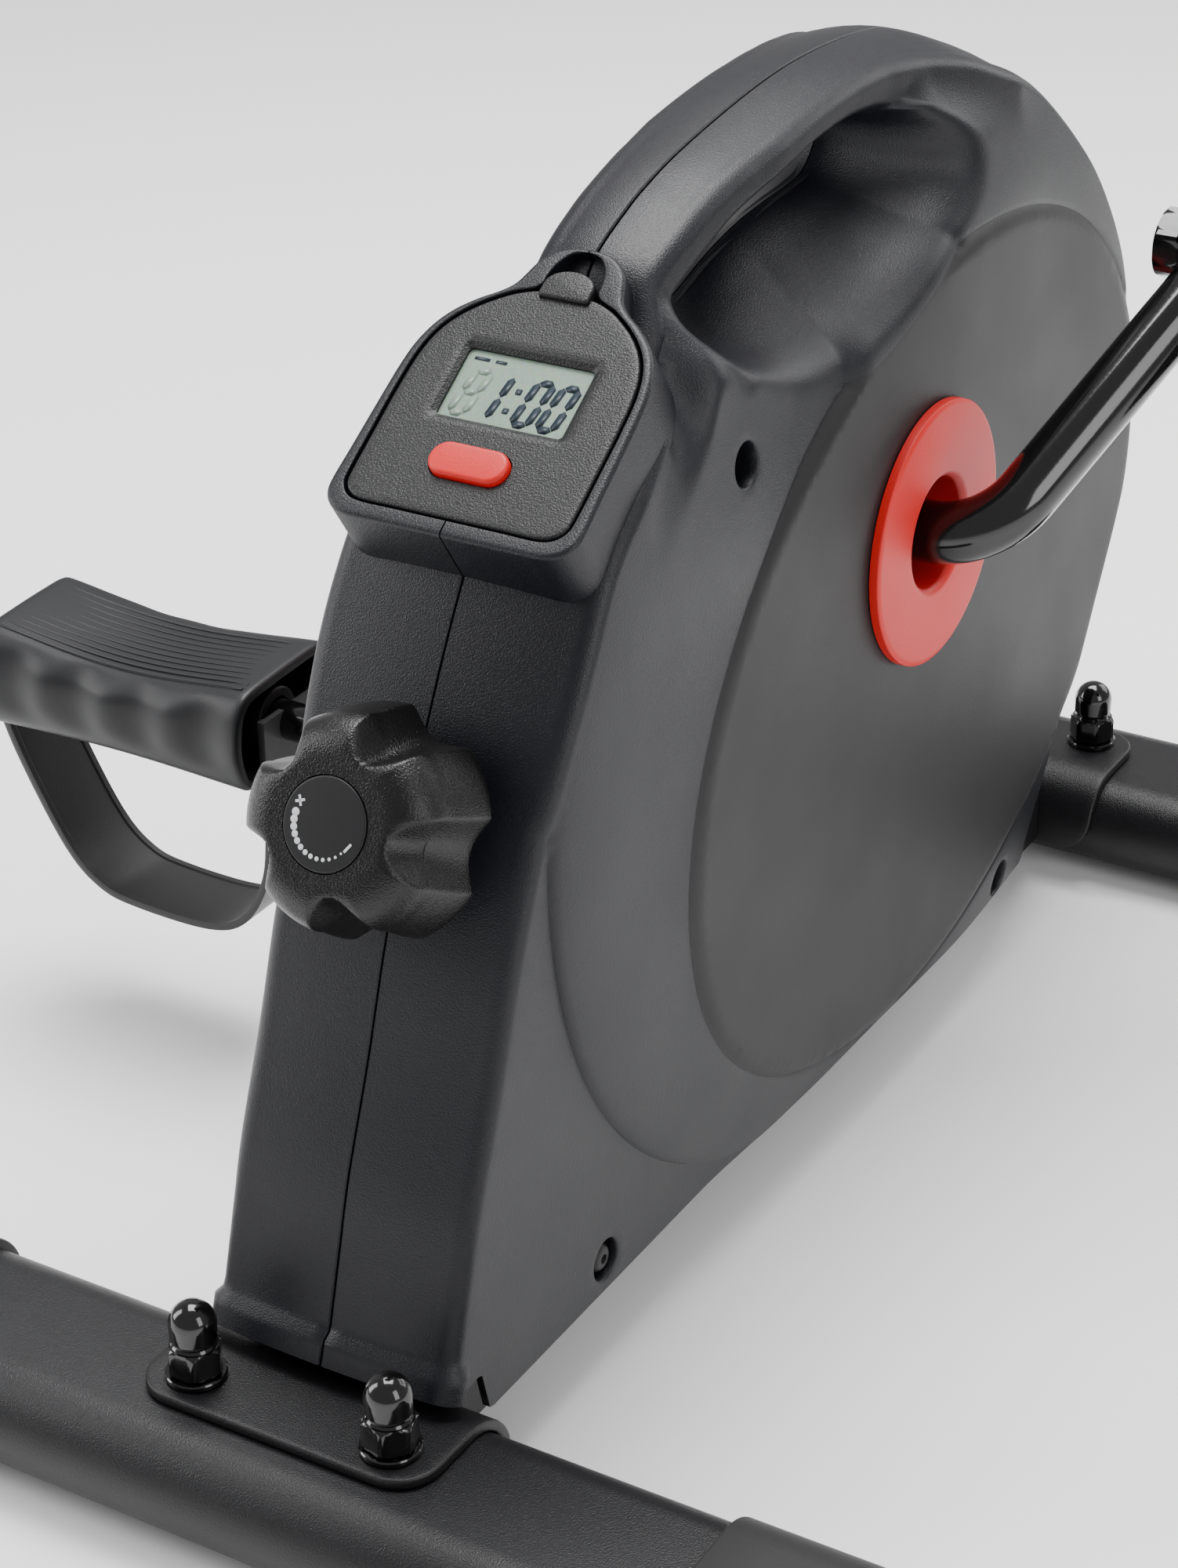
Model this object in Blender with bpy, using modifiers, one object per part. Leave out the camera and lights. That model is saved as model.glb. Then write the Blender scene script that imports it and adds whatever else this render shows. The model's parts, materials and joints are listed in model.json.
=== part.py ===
"""Pedal exerciser with a magnetic brake, as separate named parts.

Frame: +X to the right-hand side of the person who pedals away from the
console, -Y towards the person (console and knob side), +Z up. The origin is
on the floor, midway between the two stabilizer feet. Metres throughout.
"""

import math

import bmesh
import bpy
from mathutils import Matrix, Vector

MM = 0.001

# Fits
GAP = 0.3 * MM            # between surfaces that touch
RUN = 0.4 * MM            # between surfaces that slide or turn
SEAM = 0.15 * MM          # each half shell stays this far from the middle

# Stabilizer feet: flat-oval tubes with end caps
ROW_SPACING = 431 * MM    # front bolt row to rear bolt row
STABILIZER_LENGTH = 330 * MM
TUBE_DEPTH = 60 * MM
TUBE_HEIGHT = 30 * MM
TUBE_WALL = 2 * MM
CAP_WALL = 3 * MM
CAP_COVER = 51 * MM       # length of tube inside an end cap

# Brackets, beam and inner frame
PLATE = 3 * MM
BRACKET_WIDTH = 87 * MM
BRACKET_LIP = 11 * MM     # bracket in front of its bolt row
BRACKET_DROP = 6 * MM     # bracket below the tube's middle height
BRACKET_CORNER = 12 * MM
BEAM_WIDTH = 51 * MM
BEAM_BOTTOM = 14 * MM
BEAM_HEIGHT = 30 * MM
BEAM_WALL = 2 * MM
SUPPORT_PLATE = 3 * MM

# Fasteners
BOLT_SPACING = 59 * MM
BOLT_RADIUS = 4 * MM
BOLT_HEAD_RADIUS = 9 * MM
WASHER_RADIUS = 8 * MM
WASHER_THICKNESS = 1.6 * MM
NUT_ACROSS_FLATS = 13 * MM
NUT_HEX_HEIGHT = 8 * MM
NUT_DOME_RADIUS = 6.2 * MM
NUT_HEIGHT = 20.6 * MM
SCREW_RADIUS = 2 * MM
SCREW_HEAD_RADIUS = 4.3 * MM
SCREW_RECESS = {"upper": 12 * MM, "front": 4 * MM, "rear": 4 * MM}
BOSS_RADIUS = 7 * MM

# Housing
WALL = 2.5 * MM
HOUSING_HALF_WIDTH = 36 * MM
DISC_HALF_WIDTH = 42 * MM
HOUSING_BOTTOM = 27 * MM
BAR_HALF_WIDTH = 22 * MM  # of the bar over the handle gap
HUB_HOLE_RADIUS = 19 * MM
RING_RADIUS = 38.6 * MM
RING_BORE_RADIUS = 16.3 * MM
RING_THICKNESS = 3 * MM
RING_NECK = 9 * MM

# Crank
CRANK_Z = 180.7 * MM
CRANK_RADIUS = 103 * MM
CRANK_ANGLE = math.radians(41)
CRANK_ROD_RADIUS = 9 * MM
CRANK_BEND_X = 60 * MM
CRANK_BEND_RADIUS = 26 * MM
CRANK_TIP_X = 94 * MM
CRANK_EYE_RADIUS = 13.5 * MM
CRANK_AXLE_RADIUS = 8.5 * MM
CRANK_AXLE_HALF = 32 * MM
BEARING_RADIUS = 15 * MM
BEARING_WIDTH = 7 * MM

# Pedals and straps
PEDAL_INNER_X = 131 * MM
PEDAL_LENGTH = 100 * MM
PEDAL_WALL = 3 * MM
SPINDLE_RADIUS = 6 * MM
PEDAL_TUBE_RADIUS = 9.5 * MM
STRAP_WIDTH = 28 * MM
STRAP_THICKNESS = 2.6 * MM
STRAP_DROP = 73 * MM      # pedal axis to the lowest run of the strap

# Belt drive, flywheel and brake
PULLEY_RADIUS = 62 * MM
PULLEY_X = (8 * MM, 18 * MM)
FLYWHEEL_RADIUS = 62 * MM
FLYWHEEL_X = (-20 * MM, -4 * MM)
FLYWHEEL_Z = 122 * MM
FLYWHEEL_PULLEY_RADIUS = 15 * MM
FLYWHEEL_AXLE_RADIUS = 6 * MM
BELT_THICKNESS = 2 * MM
BELT_LIFT = 0.9 * MM      # belt off the pulleys, so that its facets clear them
MAGNET_GAP = 2.5 * MM
MAGNET_BAND = 6 * MM
MAGNET_PIN_RADIUS = 3 * MM
MAGNET_ARC = (50, 112)    # degrees round the flywheel's axis
MAGNET_PIVOT_ANGLE = 45

# Resistance knob
KNOB_TILT = math.radians(25)
KNOB_RADIUS = 27.5 * MM
KNOB_LOBE = 2.5 * MM
KNOB_LOBES = 5
KNOB_LOBE_TURN = math.radians(33)
KNOB_STAND_OFF = 10 * MM
KNOB_DEPTH = 28 * MM
KNOB_SHAFT_RADIUS = 6 * MM
KNOB_SHAFT_LENGTH = 18 * MM
KNOB_CAP_RADIUS = 11.5 * MM
KNOB_CAP_THICKNESS = 0.9 * MM
BUSH_RADIUS = 10 * MM
BUSH_FLANGE_RADIUS = 15 * MM
BUSH_FLANGE = 4 * MM

# Console
CONSOLE_TILT = math.radians(34)
CONSOLE_Z = 267 * MM
POD_HALF_WIDTH = 35.8 * MM
POD_S = (-42.7 * MM, 34.5 * MM)     # down and up the face from its middle
POD_DEPTH = 20 * MM
CASE_HALF_WIDTH = 31.8 * MM
CASE_S = (-38.1 * MM, 31.8 * MM)
CASE_DEPTH = 12 * MM
CASE_SKIN = 2.4 * MM
DISPLAY_SIZE = (36.4 * MM, 20.8 * MM)
DISPLAY_THICKNESS = 1.8 * MM
DISPLAY_RECESS = 1.4 * MM
BUTTON_SIZE = (22 * MM, 9.4 * MM)
BUTTON_S = -22.4 * MM
BUTTON_PROUD = 2 * MM
LATCH_HALF_WIDTH = 7 * MM
LATCH_S = (26.5 * MM, 36.9 * MM)
LATCH_RECESS_RADIUS = 8.6 * MM
LATCH_RECESS_S = 35 * MM
LATCH_RIM = 14.5 * MM
LATCH_RIM_S = 30.5 * MM
BOARD_THICKNESS = 1.6 * MM
CELL_RADIUS = 5.8 * MM
CELL_THICKNESS = 4 * MM

# Heights that follow from the sizes above
TUBE_BOTTOM = CAP_WALL
TUBE_TOP = TUBE_BOTTOM + TUBE_HEIGHT
TUBE_MIDDLE = TUBE_BOTTOM + TUBE_HEIGHT / 2
PLATE_TOP = TUBE_TOP + GAP + PLATE
HOUSING_LIP = PLATE_TOP + 4.7 * MM
BEAM_TOP = BEAM_BOTTOM + BEAM_HEIGHT
NUT_BASE = PLATE_TOP + GAP + WASHER_THICKNESS + GAP
TUBE_END_Y = TUBE_DEPTH / 2
BRACKET_REACH = ROW_SPACING / 2 - TUBE_END_Y - GAP - PLATE
PLATE_X = BEAM_WIDTH / 2 + GAP
KNOB_HEIGHT = 173.5 * MM


def along(share):
    """Y at a share of the way from the front bolt row to the rear one."""
    return ROW_SPACING * (share - 0.5)


CRANK_Y = along(0.6195)
FLYWHEEL_Y = along(0.347)
KNOB_Y = along(0.145)
CONSOLE_Y = along(0.2688)
DISC_CENTRE = (along(0.639), 144.3 * MM)
DISC_SEMI_AXES = (0.341 * ROW_SPACING, 112 * MM)
DISC_TURN = math.radians(18)
SCREW_PLACES = {
    "upper": (along(0.381), 238 * MM),
    "front": (along(0.216), 36.3 * MM),
    "rear": (along(0.777), 33.5 * MM),
}

# Middle line of the housing's front, top and rear, as (share, height)
FRONT_LINE = [(0.033, HOUSING_LIP), (0.067, 89 * MM), (0.116, 146 * MM),
              (0.172, 200 * MM), (0.207, 226 * MM)]
TOP_LINE = [(0.224, 240 * MM), (0.264, 264 * MM), (0.333, 283.5 * MM), (0.368, 292 * MM),
            (0.452, 304 * MM), (0.593, 312.5 * MM), (0.70, 310.5 * MM), (0.808, 293 * MM),
            (0.921, 246 * MM), (0.976, 195 * MM), (0.98, 150 * MM), (0.933, 105 * MM),
            (0.87, 68 * MM)]
HANDLE_FLOOR = [(0.655, 274 * MM), (0.58, 270 * MM), (0.48, 265 * MM), (0.395, 262 * MM)]
HANDLE_ROOF = [(0.385, 274 * MM), (0.47, 288.5 * MM), (0.56, 295.5 * MM), (0.63, 296 * MM),
               (0.672, 287 * MM)]
# Hand hollow beside the bar, from its front end under the gap to its rear end
SCOOP_LINE = [(0.345, 330 * MM), (0.352, 280 * MM), (0.37, 262 * MM), (0.41, 251 * MM),
              (0.50, 254 * MM), (0.61, 260 * MM), (0.70, 268 * MM), (0.735, 284 * MM),
              (0.75, 330 * MM)]


# ---------------------------------------------------------------- tools

PARTS = None
CUTTERS = None

# Local X, Y, Z to world Y, Z, X: an outline drawn as (y, z) is extruded along X
OUTLINE_YZ = Matrix(((0, 0, 1, 0), (1, 0, 0, 0), (0, 1, 0, 0), (0, 0, 0, 1)))
# Local X, Y, Z to world Z, X, Y: an outline drawn as (z, x) is extruded along Y
OUTLINE_ZX = Matrix(((0, 1, 0, 0), (0, 0, 1, 0), (1, 0, 0, 0), (0, 0, 0, 1)))


def material(name, colour, roughness, metallic=0.0):
    """Return a new Principled material."""
    made = bpy.data.materials.new(name)
    made.use_nodes = True
    shader = made.node_tree.nodes["Principled BSDF"]
    shader.inputs["Base Color"].default_value = (*colour, 1.0)
    shader.inputs["Roughness"].default_value = roughness
    shader.inputs["Metallic"].default_value = metallic
    return made


def spline(points, steps):
    """Return points along a smooth curve through the given points."""
    ends = [points[0], *points, points[-1]]
    found = []
    for i in range(1, len(ends) - 2):
        a, b, c, d = (Vector(p) for p in ends[i - 1:i + 3])
        for k in range(steps):
            t = k / steps
            found.append(0.5 * (2 * b + (c - a) * t + (2 * a - 5 * b + 4 * c - d) * t ** 2
                                + (3 * b - a - 3 * c + d) * t ** 3))
    found.append(Vector(points[-1]))
    return [tuple(p) for p in found]


def arc(centre, radius, start, end, steps):
    """Return points on an arc, its angles in degrees."""
    angles = [math.radians(start + (end - start) * k / steps) for k in range(steps + 1)]
    return [(centre[0] + radius * math.cos(a), centre[1] + radius * math.sin(a)) for a in angles]


def ellipse(centre, semi_axes, turn, steps):
    """Return points on a turned ellipse."""
    found = []
    for k in range(steps):
        a = 2 * math.pi * k / steps
        u = semi_axes[0] * math.cos(a)
        v = semi_axes[1] * math.sin(a)
        found.append((centre[0] + u * math.cos(turn) - v * math.sin(turn),
                      centre[1] + u * math.sin(turn) + v * math.cos(turn)))
    return found


def rounded(half_width, half_height, radius, centre=(0, 0), steps=4):
    """Return a rounded rectangle, anticlockwise."""
    cx, cy = centre
    w = half_width - radius
    h = half_height - radius
    corners = [(w, h, 0), (-w, h, 90), (-w, -h, 180), (w, -h, 270)]
    return [p for x, y, a in corners for p in arc((cx + x, cy + y), radius, a, a + 90, steps)]


def stadium(half_width, half_height, centre=(0, 0), steps=8):
    """Return an outline with half-round ends, anticlockwise."""
    reach = half_width - half_height
    right = arc((centre[0] + reach, centre[1]), half_height, -90, 90, steps)
    return right + arc((centre[0] - reach, centre[1]), half_height, 90, 270, steps)


def offset(points, distance):
    """Return an anticlockwise closed outline moved outwards by a distance."""
    found = []
    count = len(points)
    for i in range(count):
        a, b, c = (Vector(points[(i + k) % count]) for k in (-1, 0, 1))
        into = (b - a).normalized()
        out = (c - b).normalized()
        side = Vector((into.y + out.y, -into.x - out.x)).normalized()
        reach = distance / max(0.5, side.dot(Vector((into.y, -into.x))))
        found.append(tuple(b + side * reach))
    return found


def band(points, thickness):
    """Return the outline of a strip laid on the left of an open line."""
    far = []
    for i, point in enumerate(points):
        a = Vector(points[max(i - 1, 0)])
        c = Vector(points[min(i + 1, len(points) - 1)])
        run = (c - a).normalized()
        far.append(tuple(Vector(point) + Vector((-run.y, run.x)) * thickness))
    return list(points) + far[::-1]


def place(obj, name, collection, finish=None):
    """Name an object, move it to a collection and give it its material."""
    for old in obj.users_collection:
        old.objects.unlink(obj)
    collection.objects.link(obj)
    obj.name = name
    obj.data.name = name
    if finish:
        obj.data.materials.clear()
        obj.data.materials.append(finish)
    return obj


def as_cutter(obj):
    """Hide an object that only shapes others."""
    place(obj, "cutter_" + obj.name, CUTTERS)
    obj.hide_render = True
    obj.display_type = "WIRE"
    return obj


def shade(obj):
    """Smooth the round faces and keep the edges sharp."""
    obj.data.shade_smooth()
    obj.data.set_sharp_from_angle(angle=math.radians(32))


def mesh_of(obj):
    """Replace a curve object by a welded mesh object in the same place."""
    bpy.context.view_layer.update()
    evaluated = obj.evaluated_get(bpy.context.evaluated_depsgraph_get())
    data = bpy.data.meshes.new_from_object(evaluated)
    bm = bmesh.new()
    bm.from_mesh(data)
    bmesh.ops.remove_doubles(bm, verts=bm.verts, dist=0.01 * MM)
    bm.to_mesh(data)
    bm.free()
    made = bpy.data.objects.new(obj.name, data)
    made.matrix_world = obj.matrix_world.copy()
    CUTTERS.objects.link(made)
    bpy.data.objects.remove(obj)
    return made


def prism(outline, low, high, frame=OUTLINE_YZ):
    """Extrude a closed outline from low to high along the frame's Z."""
    curve = bpy.data.curves.new("prism", "CURVE")
    curve.dimensions = "2D"
    curve.fill_mode = "BOTH"
    curve.extrude = (high - low) / 2
    line = curve.splines.new("POLY")
    line.points.add(len(outline) - 1)
    for point, (u, v) in zip(line.points, outline):
        point.co = (u, v, 0, 1)
    line.use_cyclic_u = True
    obj = bpy.data.objects.new("prism", curve)
    CUTTERS.objects.link(obj)
    obj.matrix_world = frame @ Matrix.Translation((0, 0, (low + high) / 2))
    return mesh_of(obj)


def cylinder(radius, low, high, frame=OUTLINE_YZ, centre=(0, 0), sides=24):
    """Return a cylinder from low to high along the frame's Z."""
    bpy.ops.mesh.primitive_cylinder_add(vertices=sides, radius=radius, depth=high - low)
    obj = bpy.context.object
    obj.matrix_world = frame @ Matrix.Translation((centre[0], centre[1], (low + high) / 2))
    return obj


def box(low, high):
    """Return a box between two corners."""
    bpy.ops.mesh.primitive_cube_add(size=1)
    obj = bpy.context.object
    size = [b - a for a, b in zip(low, high)]
    obj.data.transform(Matrix.Diagonal((*size, 1)))
    obj.location = [(a + b) / 2 for a, b in zip(low, high)]
    return obj


def turned(profile, frame=OUTLINE_YZ, centre=(0, 0), sides=32):
    """Turn a profile of (radius, height), outer side first and downwards.

    A profile that touches the axis is left open there; others close up.
    """
    bm = bmesh.new()
    verts = [bm.verts.new((r, 0, h)) for r, h in profile]
    for a, b in zip(verts, verts[1:]):
        bm.edges.new((a, b))
    if profile[0][0] > 0:
        bm.edges.new((verts[-1], verts[0]))
    data = bpy.data.meshes.new("turned")
    bm.to_mesh(data)
    bm.free()
    obj = bpy.data.objects.new("turned", data)
    CUTTERS.objects.link(obj)
    obj.matrix_world = frame @ Matrix.Translation((centre[0], centre[1], 0))
    screw = obj.modifiers.new("Turn", "SCREW")
    screw.steps = sides
    screw.render_steps = sides
    screw.use_merge_vertices = True
    screw.merge_threshold = 0.01 * MM
    return obj


def ring(outer, inner, low, high, frame=OUTLINE_YZ, centre=(0, 0), sides=32):
    """Return a plain ring."""
    profile = [(outer, high), (outer, low), (inner, low), (inner, high)]
    return turned(profile, frame, centre, sides)


def rod(points, radius, resolution=3):
    """Return a round rod along a line of points."""
    curve = bpy.data.curves.new("rod", "CURVE")
    curve.dimensions = "3D"
    curve.bevel_depth = radius
    curve.bevel_resolution = resolution
    curve.use_fill_caps = True
    line = curve.splines.new("POLY")
    line.points.add(len(points) - 1)
    for point, place_ in zip(line.points, points):
        point.co = (*place_, 1)
    obj = bpy.data.objects.new("rod", curve)
    CUTTERS.objects.link(obj)
    return mesh_of(obj)


def combine(obj, other, operation):
    """Join, cut or intersect an object with another one."""
    modifier = obj.modifiers.new(operation.title(), "BOOLEAN")
    modifier.operation = operation
    modifier.solver = "EXACT"
    modifier.object = as_cutter(other)
    return obj


def join(obj, other):
    """Add another shape to an object."""
    return combine(obj, other, "UNION")


def cut(obj, other):
    """Take another shape out of an object."""
    return combine(obj, other, "DIFFERENCE")


def bevel(obj, width, segments=2, angle=40):
    """Round the sharp edges of an object."""
    modifier = obj.modifiers.new("Edges", "BEVEL")
    modifier.width = width
    modifier.segments = segments
    modifier.limit_method = "ANGLE"
    modifier.angle_limit = math.radians(angle)
    return obj


def part(obj, name, finish):
    """Put a finished shape among the parts."""
    shade(obj)
    return place(obj, name, PARTS, finish)


def hinge_frame(name, location, matrix=None):
    """Return an empty on a joint's axis."""
    empty = bpy.data.objects.new(name, None)
    empty.empty_display_size = 0.02
    empty.matrix_world = matrix if matrix else Matrix.Translation(location)
    PARTS.objects.link(empty)
    return empty


def carry(parent, *children):
    """Parent parts to an empty and leave them where they are."""
    bpy.context.view_layer.update()
    for child in children:
        child.parent = parent
        child.matrix_parent_inverse = parent.matrix_world.inverted()


# ---------------------------------------------------------------- frames

def facing(origin, tilt):
    """Frame on a leaning front surface: X right, Y up the slope, Z outwards."""
    return Matrix.Translation(origin) @ Matrix.Rotation(tilt, 4, "X")


CONSOLE_FRAME = facing((0, CONSOLE_Y, CONSOLE_Z), CONSOLE_TILT)
KNOB_FRAME = facing((0, KNOB_Y, KNOB_HEIGHT), math.pi / 2 - KNOB_TILT)


# ---------------------------------------------------------------- outlines

def housing_outline():
    """Side outline of the housing, anticlockwise in (y, z)."""
    front = spline([(along(s), z) for s, z in FRONT_LINE], 2)
    top = spline([(along(s), z) for s, z in TOP_LINE], 3)
    rear_y = along(0.865)
    step_y = -BRACKET_REACH + 1.5 * MM
    bottom = [(rear_y, HOUSING_BOTTOM), (step_y + 3 * MM, HOUSING_BOTTOM), (step_y, HOUSING_LIP)]
    clockwise = front + top + bottom
    return clockwise[::-1]


def handle_outline():
    """Outline of the handle gap, anticlockwise in (y, z)."""
    around = HANDLE_FLOOR[::-1] + HANDLE_ROOF[::-1]
    loop = [(along(s), z) for s, z in around]
    return spline(loop + [loop[0]], 2)[:-1]


def scoop_outline():
    """Outline of the hand hollow beside the bar, anticlockwise in (y, z)."""
    return spline([(along(s), z) for s, z in SCOOP_LINE], 2)


def disc_outline(grow=0.0):
    """Outline of the raised side disc."""
    semi_axes = (DISC_SEMI_AXES[0] + grow, DISC_SEMI_AXES[1] + grow)
    return ellipse(DISC_CENTRE, semi_axes, DISC_TURN, 40)


def shield_outline(half_width, low, high):
    """Console outline: round lower corners and a narrow, round top."""
    corner = 8 * MM
    side = [(half_width - corner, low), (half_width - 0.3 * corner, low + 0.3 * corner),
            (half_width, low + corner), (half_width, 0)]
    crown = spline([(half_width, 0), (0.97 * half_width, 0.24 * high), (0.84 * half_width, 0.55 * high),
                    (0.52 * half_width, 0.87 * high), (0, high)], 2)
    right = side + crown[1:]
    left = [(-x, y) for x, y in right[-2::-1]]
    return right + left


# ---------------------------------------------------------------- housing

def shell(side, finish):
    """One half of the housing; side is +1 for the right half."""
    outline = housing_outline()
    body = prism(outline, *sorted((-side * 2 * MM, side * HOUSING_HALF_WIDTH)))
    disc = sorted((side * (HOUSING_HALF_WIDTH - 5 * MM), side * DISC_HALF_WIDTH))
    join(body, prism(disc_outline(), *disc))
    join(body, prism(shield_outline(POD_HALF_WIDTH, *POD_S), -POD_DEPTH, 0, CONSOLE_FRAME))
    join(body, cylinder(LATCH_RIM, -POD_DEPTH, 0, CONSOLE_FRAME, (0, LATCH_RIM_S)))

    inside = sorted((-side * 4 * MM, side * (HOUSING_HALF_WIDTH - WALL)))
    cavity = prism(offset(outline, -WALL), *inside)
    join(cavity, prism(disc_outline(-WALL), *sorted((side * 5 * MM, side * (DISC_HALF_WIDTH - WALL)))))
    handle = handle_outline()
    wide = (-60 * MM, 60 * MM)
    cut(cavity, prism(offset(handle, WALL), *wide))
    low, high = POD_S
    cut(cavity, prism(shield_outline(POD_HALF_WIDTH - 2 * MM, low + 2 * MM, high + 10 * MM),
                      -POD_DEPTH, 4 * MM, CONSOLE_FRAME))
    bar = side * (BAR_HALF_WIDTH - WALL)
    cut(cavity, prism(offset(scoop_outline(), WALL), *sorted((bar, side * 60 * MM))))
    cut(cavity, cylinder(BUSH_RADIUS + 3 * MM, -14 * MM, 10 * MM, KNOB_FRAME, sides=16))
    for y, z in SCREW_PLACES.values():
        cut(cavity, cylinder(BOSS_RADIUS, *wide, centre=(y, z), sides=10))
    cut(body, cavity)

    half = (-side * 60 * MM, side * SEAM)
    cut(body, box((min(half), -1, -1), (max(half), 1, 1)))
    cut(body, prism(handle, *wide))
    cut(body, prism(scoop_outline(), *sorted((side * BAR_HALF_WIDTH, side * 60 * MM))))
    cut(body, cylinder(HUB_HOLE_RADIUS, *sorted((side * 20 * MM, side * 60 * MM)),
                       centre=(CRANK_Y, CRANK_Z)))
    cut(body, cylinder(BUSH_RADIUS + RUN, -30 * MM, 12 * MM, KNOB_FRAME, sides=20))
    case = shield_outline(CASE_HALF_WIDTH + RUN, CASE_S[0] - RUN, CASE_S[1] + RUN)
    cut(body, prism(case, -CASE_DEPTH - GAP, 8 * MM, CONSOLE_FRAME))
    cut(body, cylinder(LATCH_RECESS_RADIUS, -8 * MM, 8 * MM, CONSOLE_FRAME,
                       centre=(0, LATCH_RECESS_S), sides=16))
    slot = PLATE_X + SUPPORT_PLATE + GAP
    cut(body, box((-slot, -1, -0.1), (slot, 1, BEAM_TOP + GAP)))
    for word, place_ in SCREW_PLACES.items():
        cut(body, cylinder(SCREW_RADIUS + RUN, *wide, centre=place_, sides=8))
        if side > 0:
            deep = (HOUSING_HALF_WIDTH - SCREW_RECESS[word], 60 * MM)
            cut(body, cylinder(SCREW_HEAD_RADIUS + RUN, *deep, centre=place_, sides=12))
    return part(body, "right_shell" if side > 0 else "left_shell", finish)


def hub_ring(side, finish):
    """Trim ring that lines the crank opening on one side."""
    neck = HUB_HOLE_RADIUS - RUN
    face = DISC_HALF_WIDTH + GAP
    profile = [(RING_RADIUS, face + RING_THICKNESS), (RING_RADIUS, face), (neck, face),
               (neck, face - RING_NECK), (RING_BORE_RADIUS, face - RING_NECK),
               (RING_BORE_RADIUS, face + RING_THICKNESS)]
    flip = Matrix.Identity(4) if side > 0 else Matrix.Rotation(math.pi, 4, "Z")
    frame = Matrix.Translation((0, CRANK_Y, CRANK_Z)) @ flip @ OUTLINE_YZ
    made = turned(profile, frame, sides=32)
    return part(made, ("right" if side > 0 else "left") + "_hub_ring", finish)


def shell_screw(name, centre, finish):
    """Self-tapping screw that pulls the two half shells together."""
    recess = SCREW_RECESS[name]
    head = HOUSING_HALF_WIDTH - recess + GAP
    tip = -HOUSING_HALF_WIDTH + max(3 * MM, recess)
    profile = [(0, head + 3 * MM), (SCREW_HEAD_RADIUS - 1 * MM, head + 3 * MM),
               (SCREW_HEAD_RADIUS, head + 1.5 * MM), (SCREW_HEAD_RADIUS, head),
               (SCREW_RADIUS, head), (SCREW_RADIUS, tip + 2 * MM), (0, tip)]
    made = turned(profile, OUTLINE_YZ, centre, sides=8)
    return part(made, "shell_screw_" + name, finish)


# ---------------------------------------------------------------- feet and frame

def tube_outline(grow=0.0, centre=0.0):
    """Flat-oval section of a stabilizer tube, in (y, z)."""
    return stadium(TUBE_DEPTH / 2 + grow, TUBE_HEIGHT / 2 + grow, (centre, TUBE_MIDDLE), 8)


def stabilizer(name, y, finish):
    """Flat-oval cross tube with its two bolt holes."""
    half = STABILIZER_LENGTH / 2
    made = prism(tube_outline(0, y), -half, half)
    cut(made, prism(tube_outline(-TUBE_WALL, y), -half - 1 * MM, half + 1 * MM))
    for side in (-1, 1):
        hole = cylinder(BOLT_RADIUS + RUN, 0, PLATE_TOP, Matrix.Identity(4),
                        (side * BOLT_SPACING / 2, y), 12)
        cut(made, hole)
    return part(made, name, finish)


def end_cap(name, side, y, finish):
    """Rubber cap over one end of a stabilizer tube."""
    tube_end = STABILIZER_LENGTH / 2
    span = sorted((side * (tube_end - CAP_COVER), side * (tube_end + CAP_WALL)))
    bore = sorted((side * (tube_end - CAP_COVER - 1 * MM), side * (tube_end + GAP)))
    made = bevel(prism(tube_outline(CAP_WALL, y), *span), 1.2 * MM, 1)
    cut(made, prism(tube_outline(GAP, y), *bore))
    return part(made, name, finish)


def bracket(name, y, inward, finish):
    """Bent plate on a stabilizer; inward is +1 where the beam is at +Y."""
    lip = y - inward * BRACKET_LIP
    radius = TUBE_HEIGHT / 2 + GAP
    bend = y + inward * (TUBE_DEPTH / 2 - TUBE_HEIGHT / 2)
    turn = arc((bend, TUBE_MIDDLE), radius, 90, 0 if inward > 0 else 180, 8)
    line = [(lip, TUBE_TOP + GAP)] + turn + [(turn[-1][0], TUBE_MIDDLE - BRACKET_DROP)]
    outline = band(line, inward * PLATE)
    half = BRACKET_WIDTH / 2
    made = prism(outline, -half, half)
    far = turn[-1][0] + inward * (PLATE + 5 * MM)
    middle = (lip + far) / 2
    plan = rounded(half, abs(far - lip) / 2, BRACKET_CORNER, (0, middle), steps=5)
    combine(made, prism(plan, -0.02, 0.08, Matrix.Identity(4)), "INTERSECT")
    for side in (-1, 1):
        hole = cylinder(BOLT_RADIUS + RUN, 0, PLATE_TOP + 5 * MM, Matrix.Identity(4),
                        (side * BOLT_SPACING / 2, y), 12)
        cut(made, hole)
    return part(made, name, finish)


def base_beam(finish):
    """Box-section beam between the two brackets."""
    half = BEAM_WIDTH / 2
    length = BRACKET_REACH - GAP
    made = box((-half, -length, BEAM_BOTTOM), (half, length, BEAM_TOP))
    inner = half - BEAM_WALL
    cut(made, box((-inner, -1, BEAM_BOTTOM + BEAM_WALL), (inner, 1, BEAM_TOP - BEAM_WALL)))
    for word in ("front", "rear"):
        cut(made, cylinder(SCREW_RADIUS + RUN, -60 * MM, 60 * MM, centre=SCREW_PLACES[word], sides=12))
    return part(made, "base_beam", finish)


def ear_outline():
    """Ear of the left support plate, from the flywheel's axis to the magnet pivot."""
    hub = (FLYWHEEL_Y, FLYWHEEL_Z)
    lean = MAGNET_PIVOT_ANGLE
    back = arc(hub, 14 * MM, lean + 90, lean + 270, 6)
    return back + arc(magnet_pivot(), 9 * MM, lean - 90, lean + 90, 6)


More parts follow.
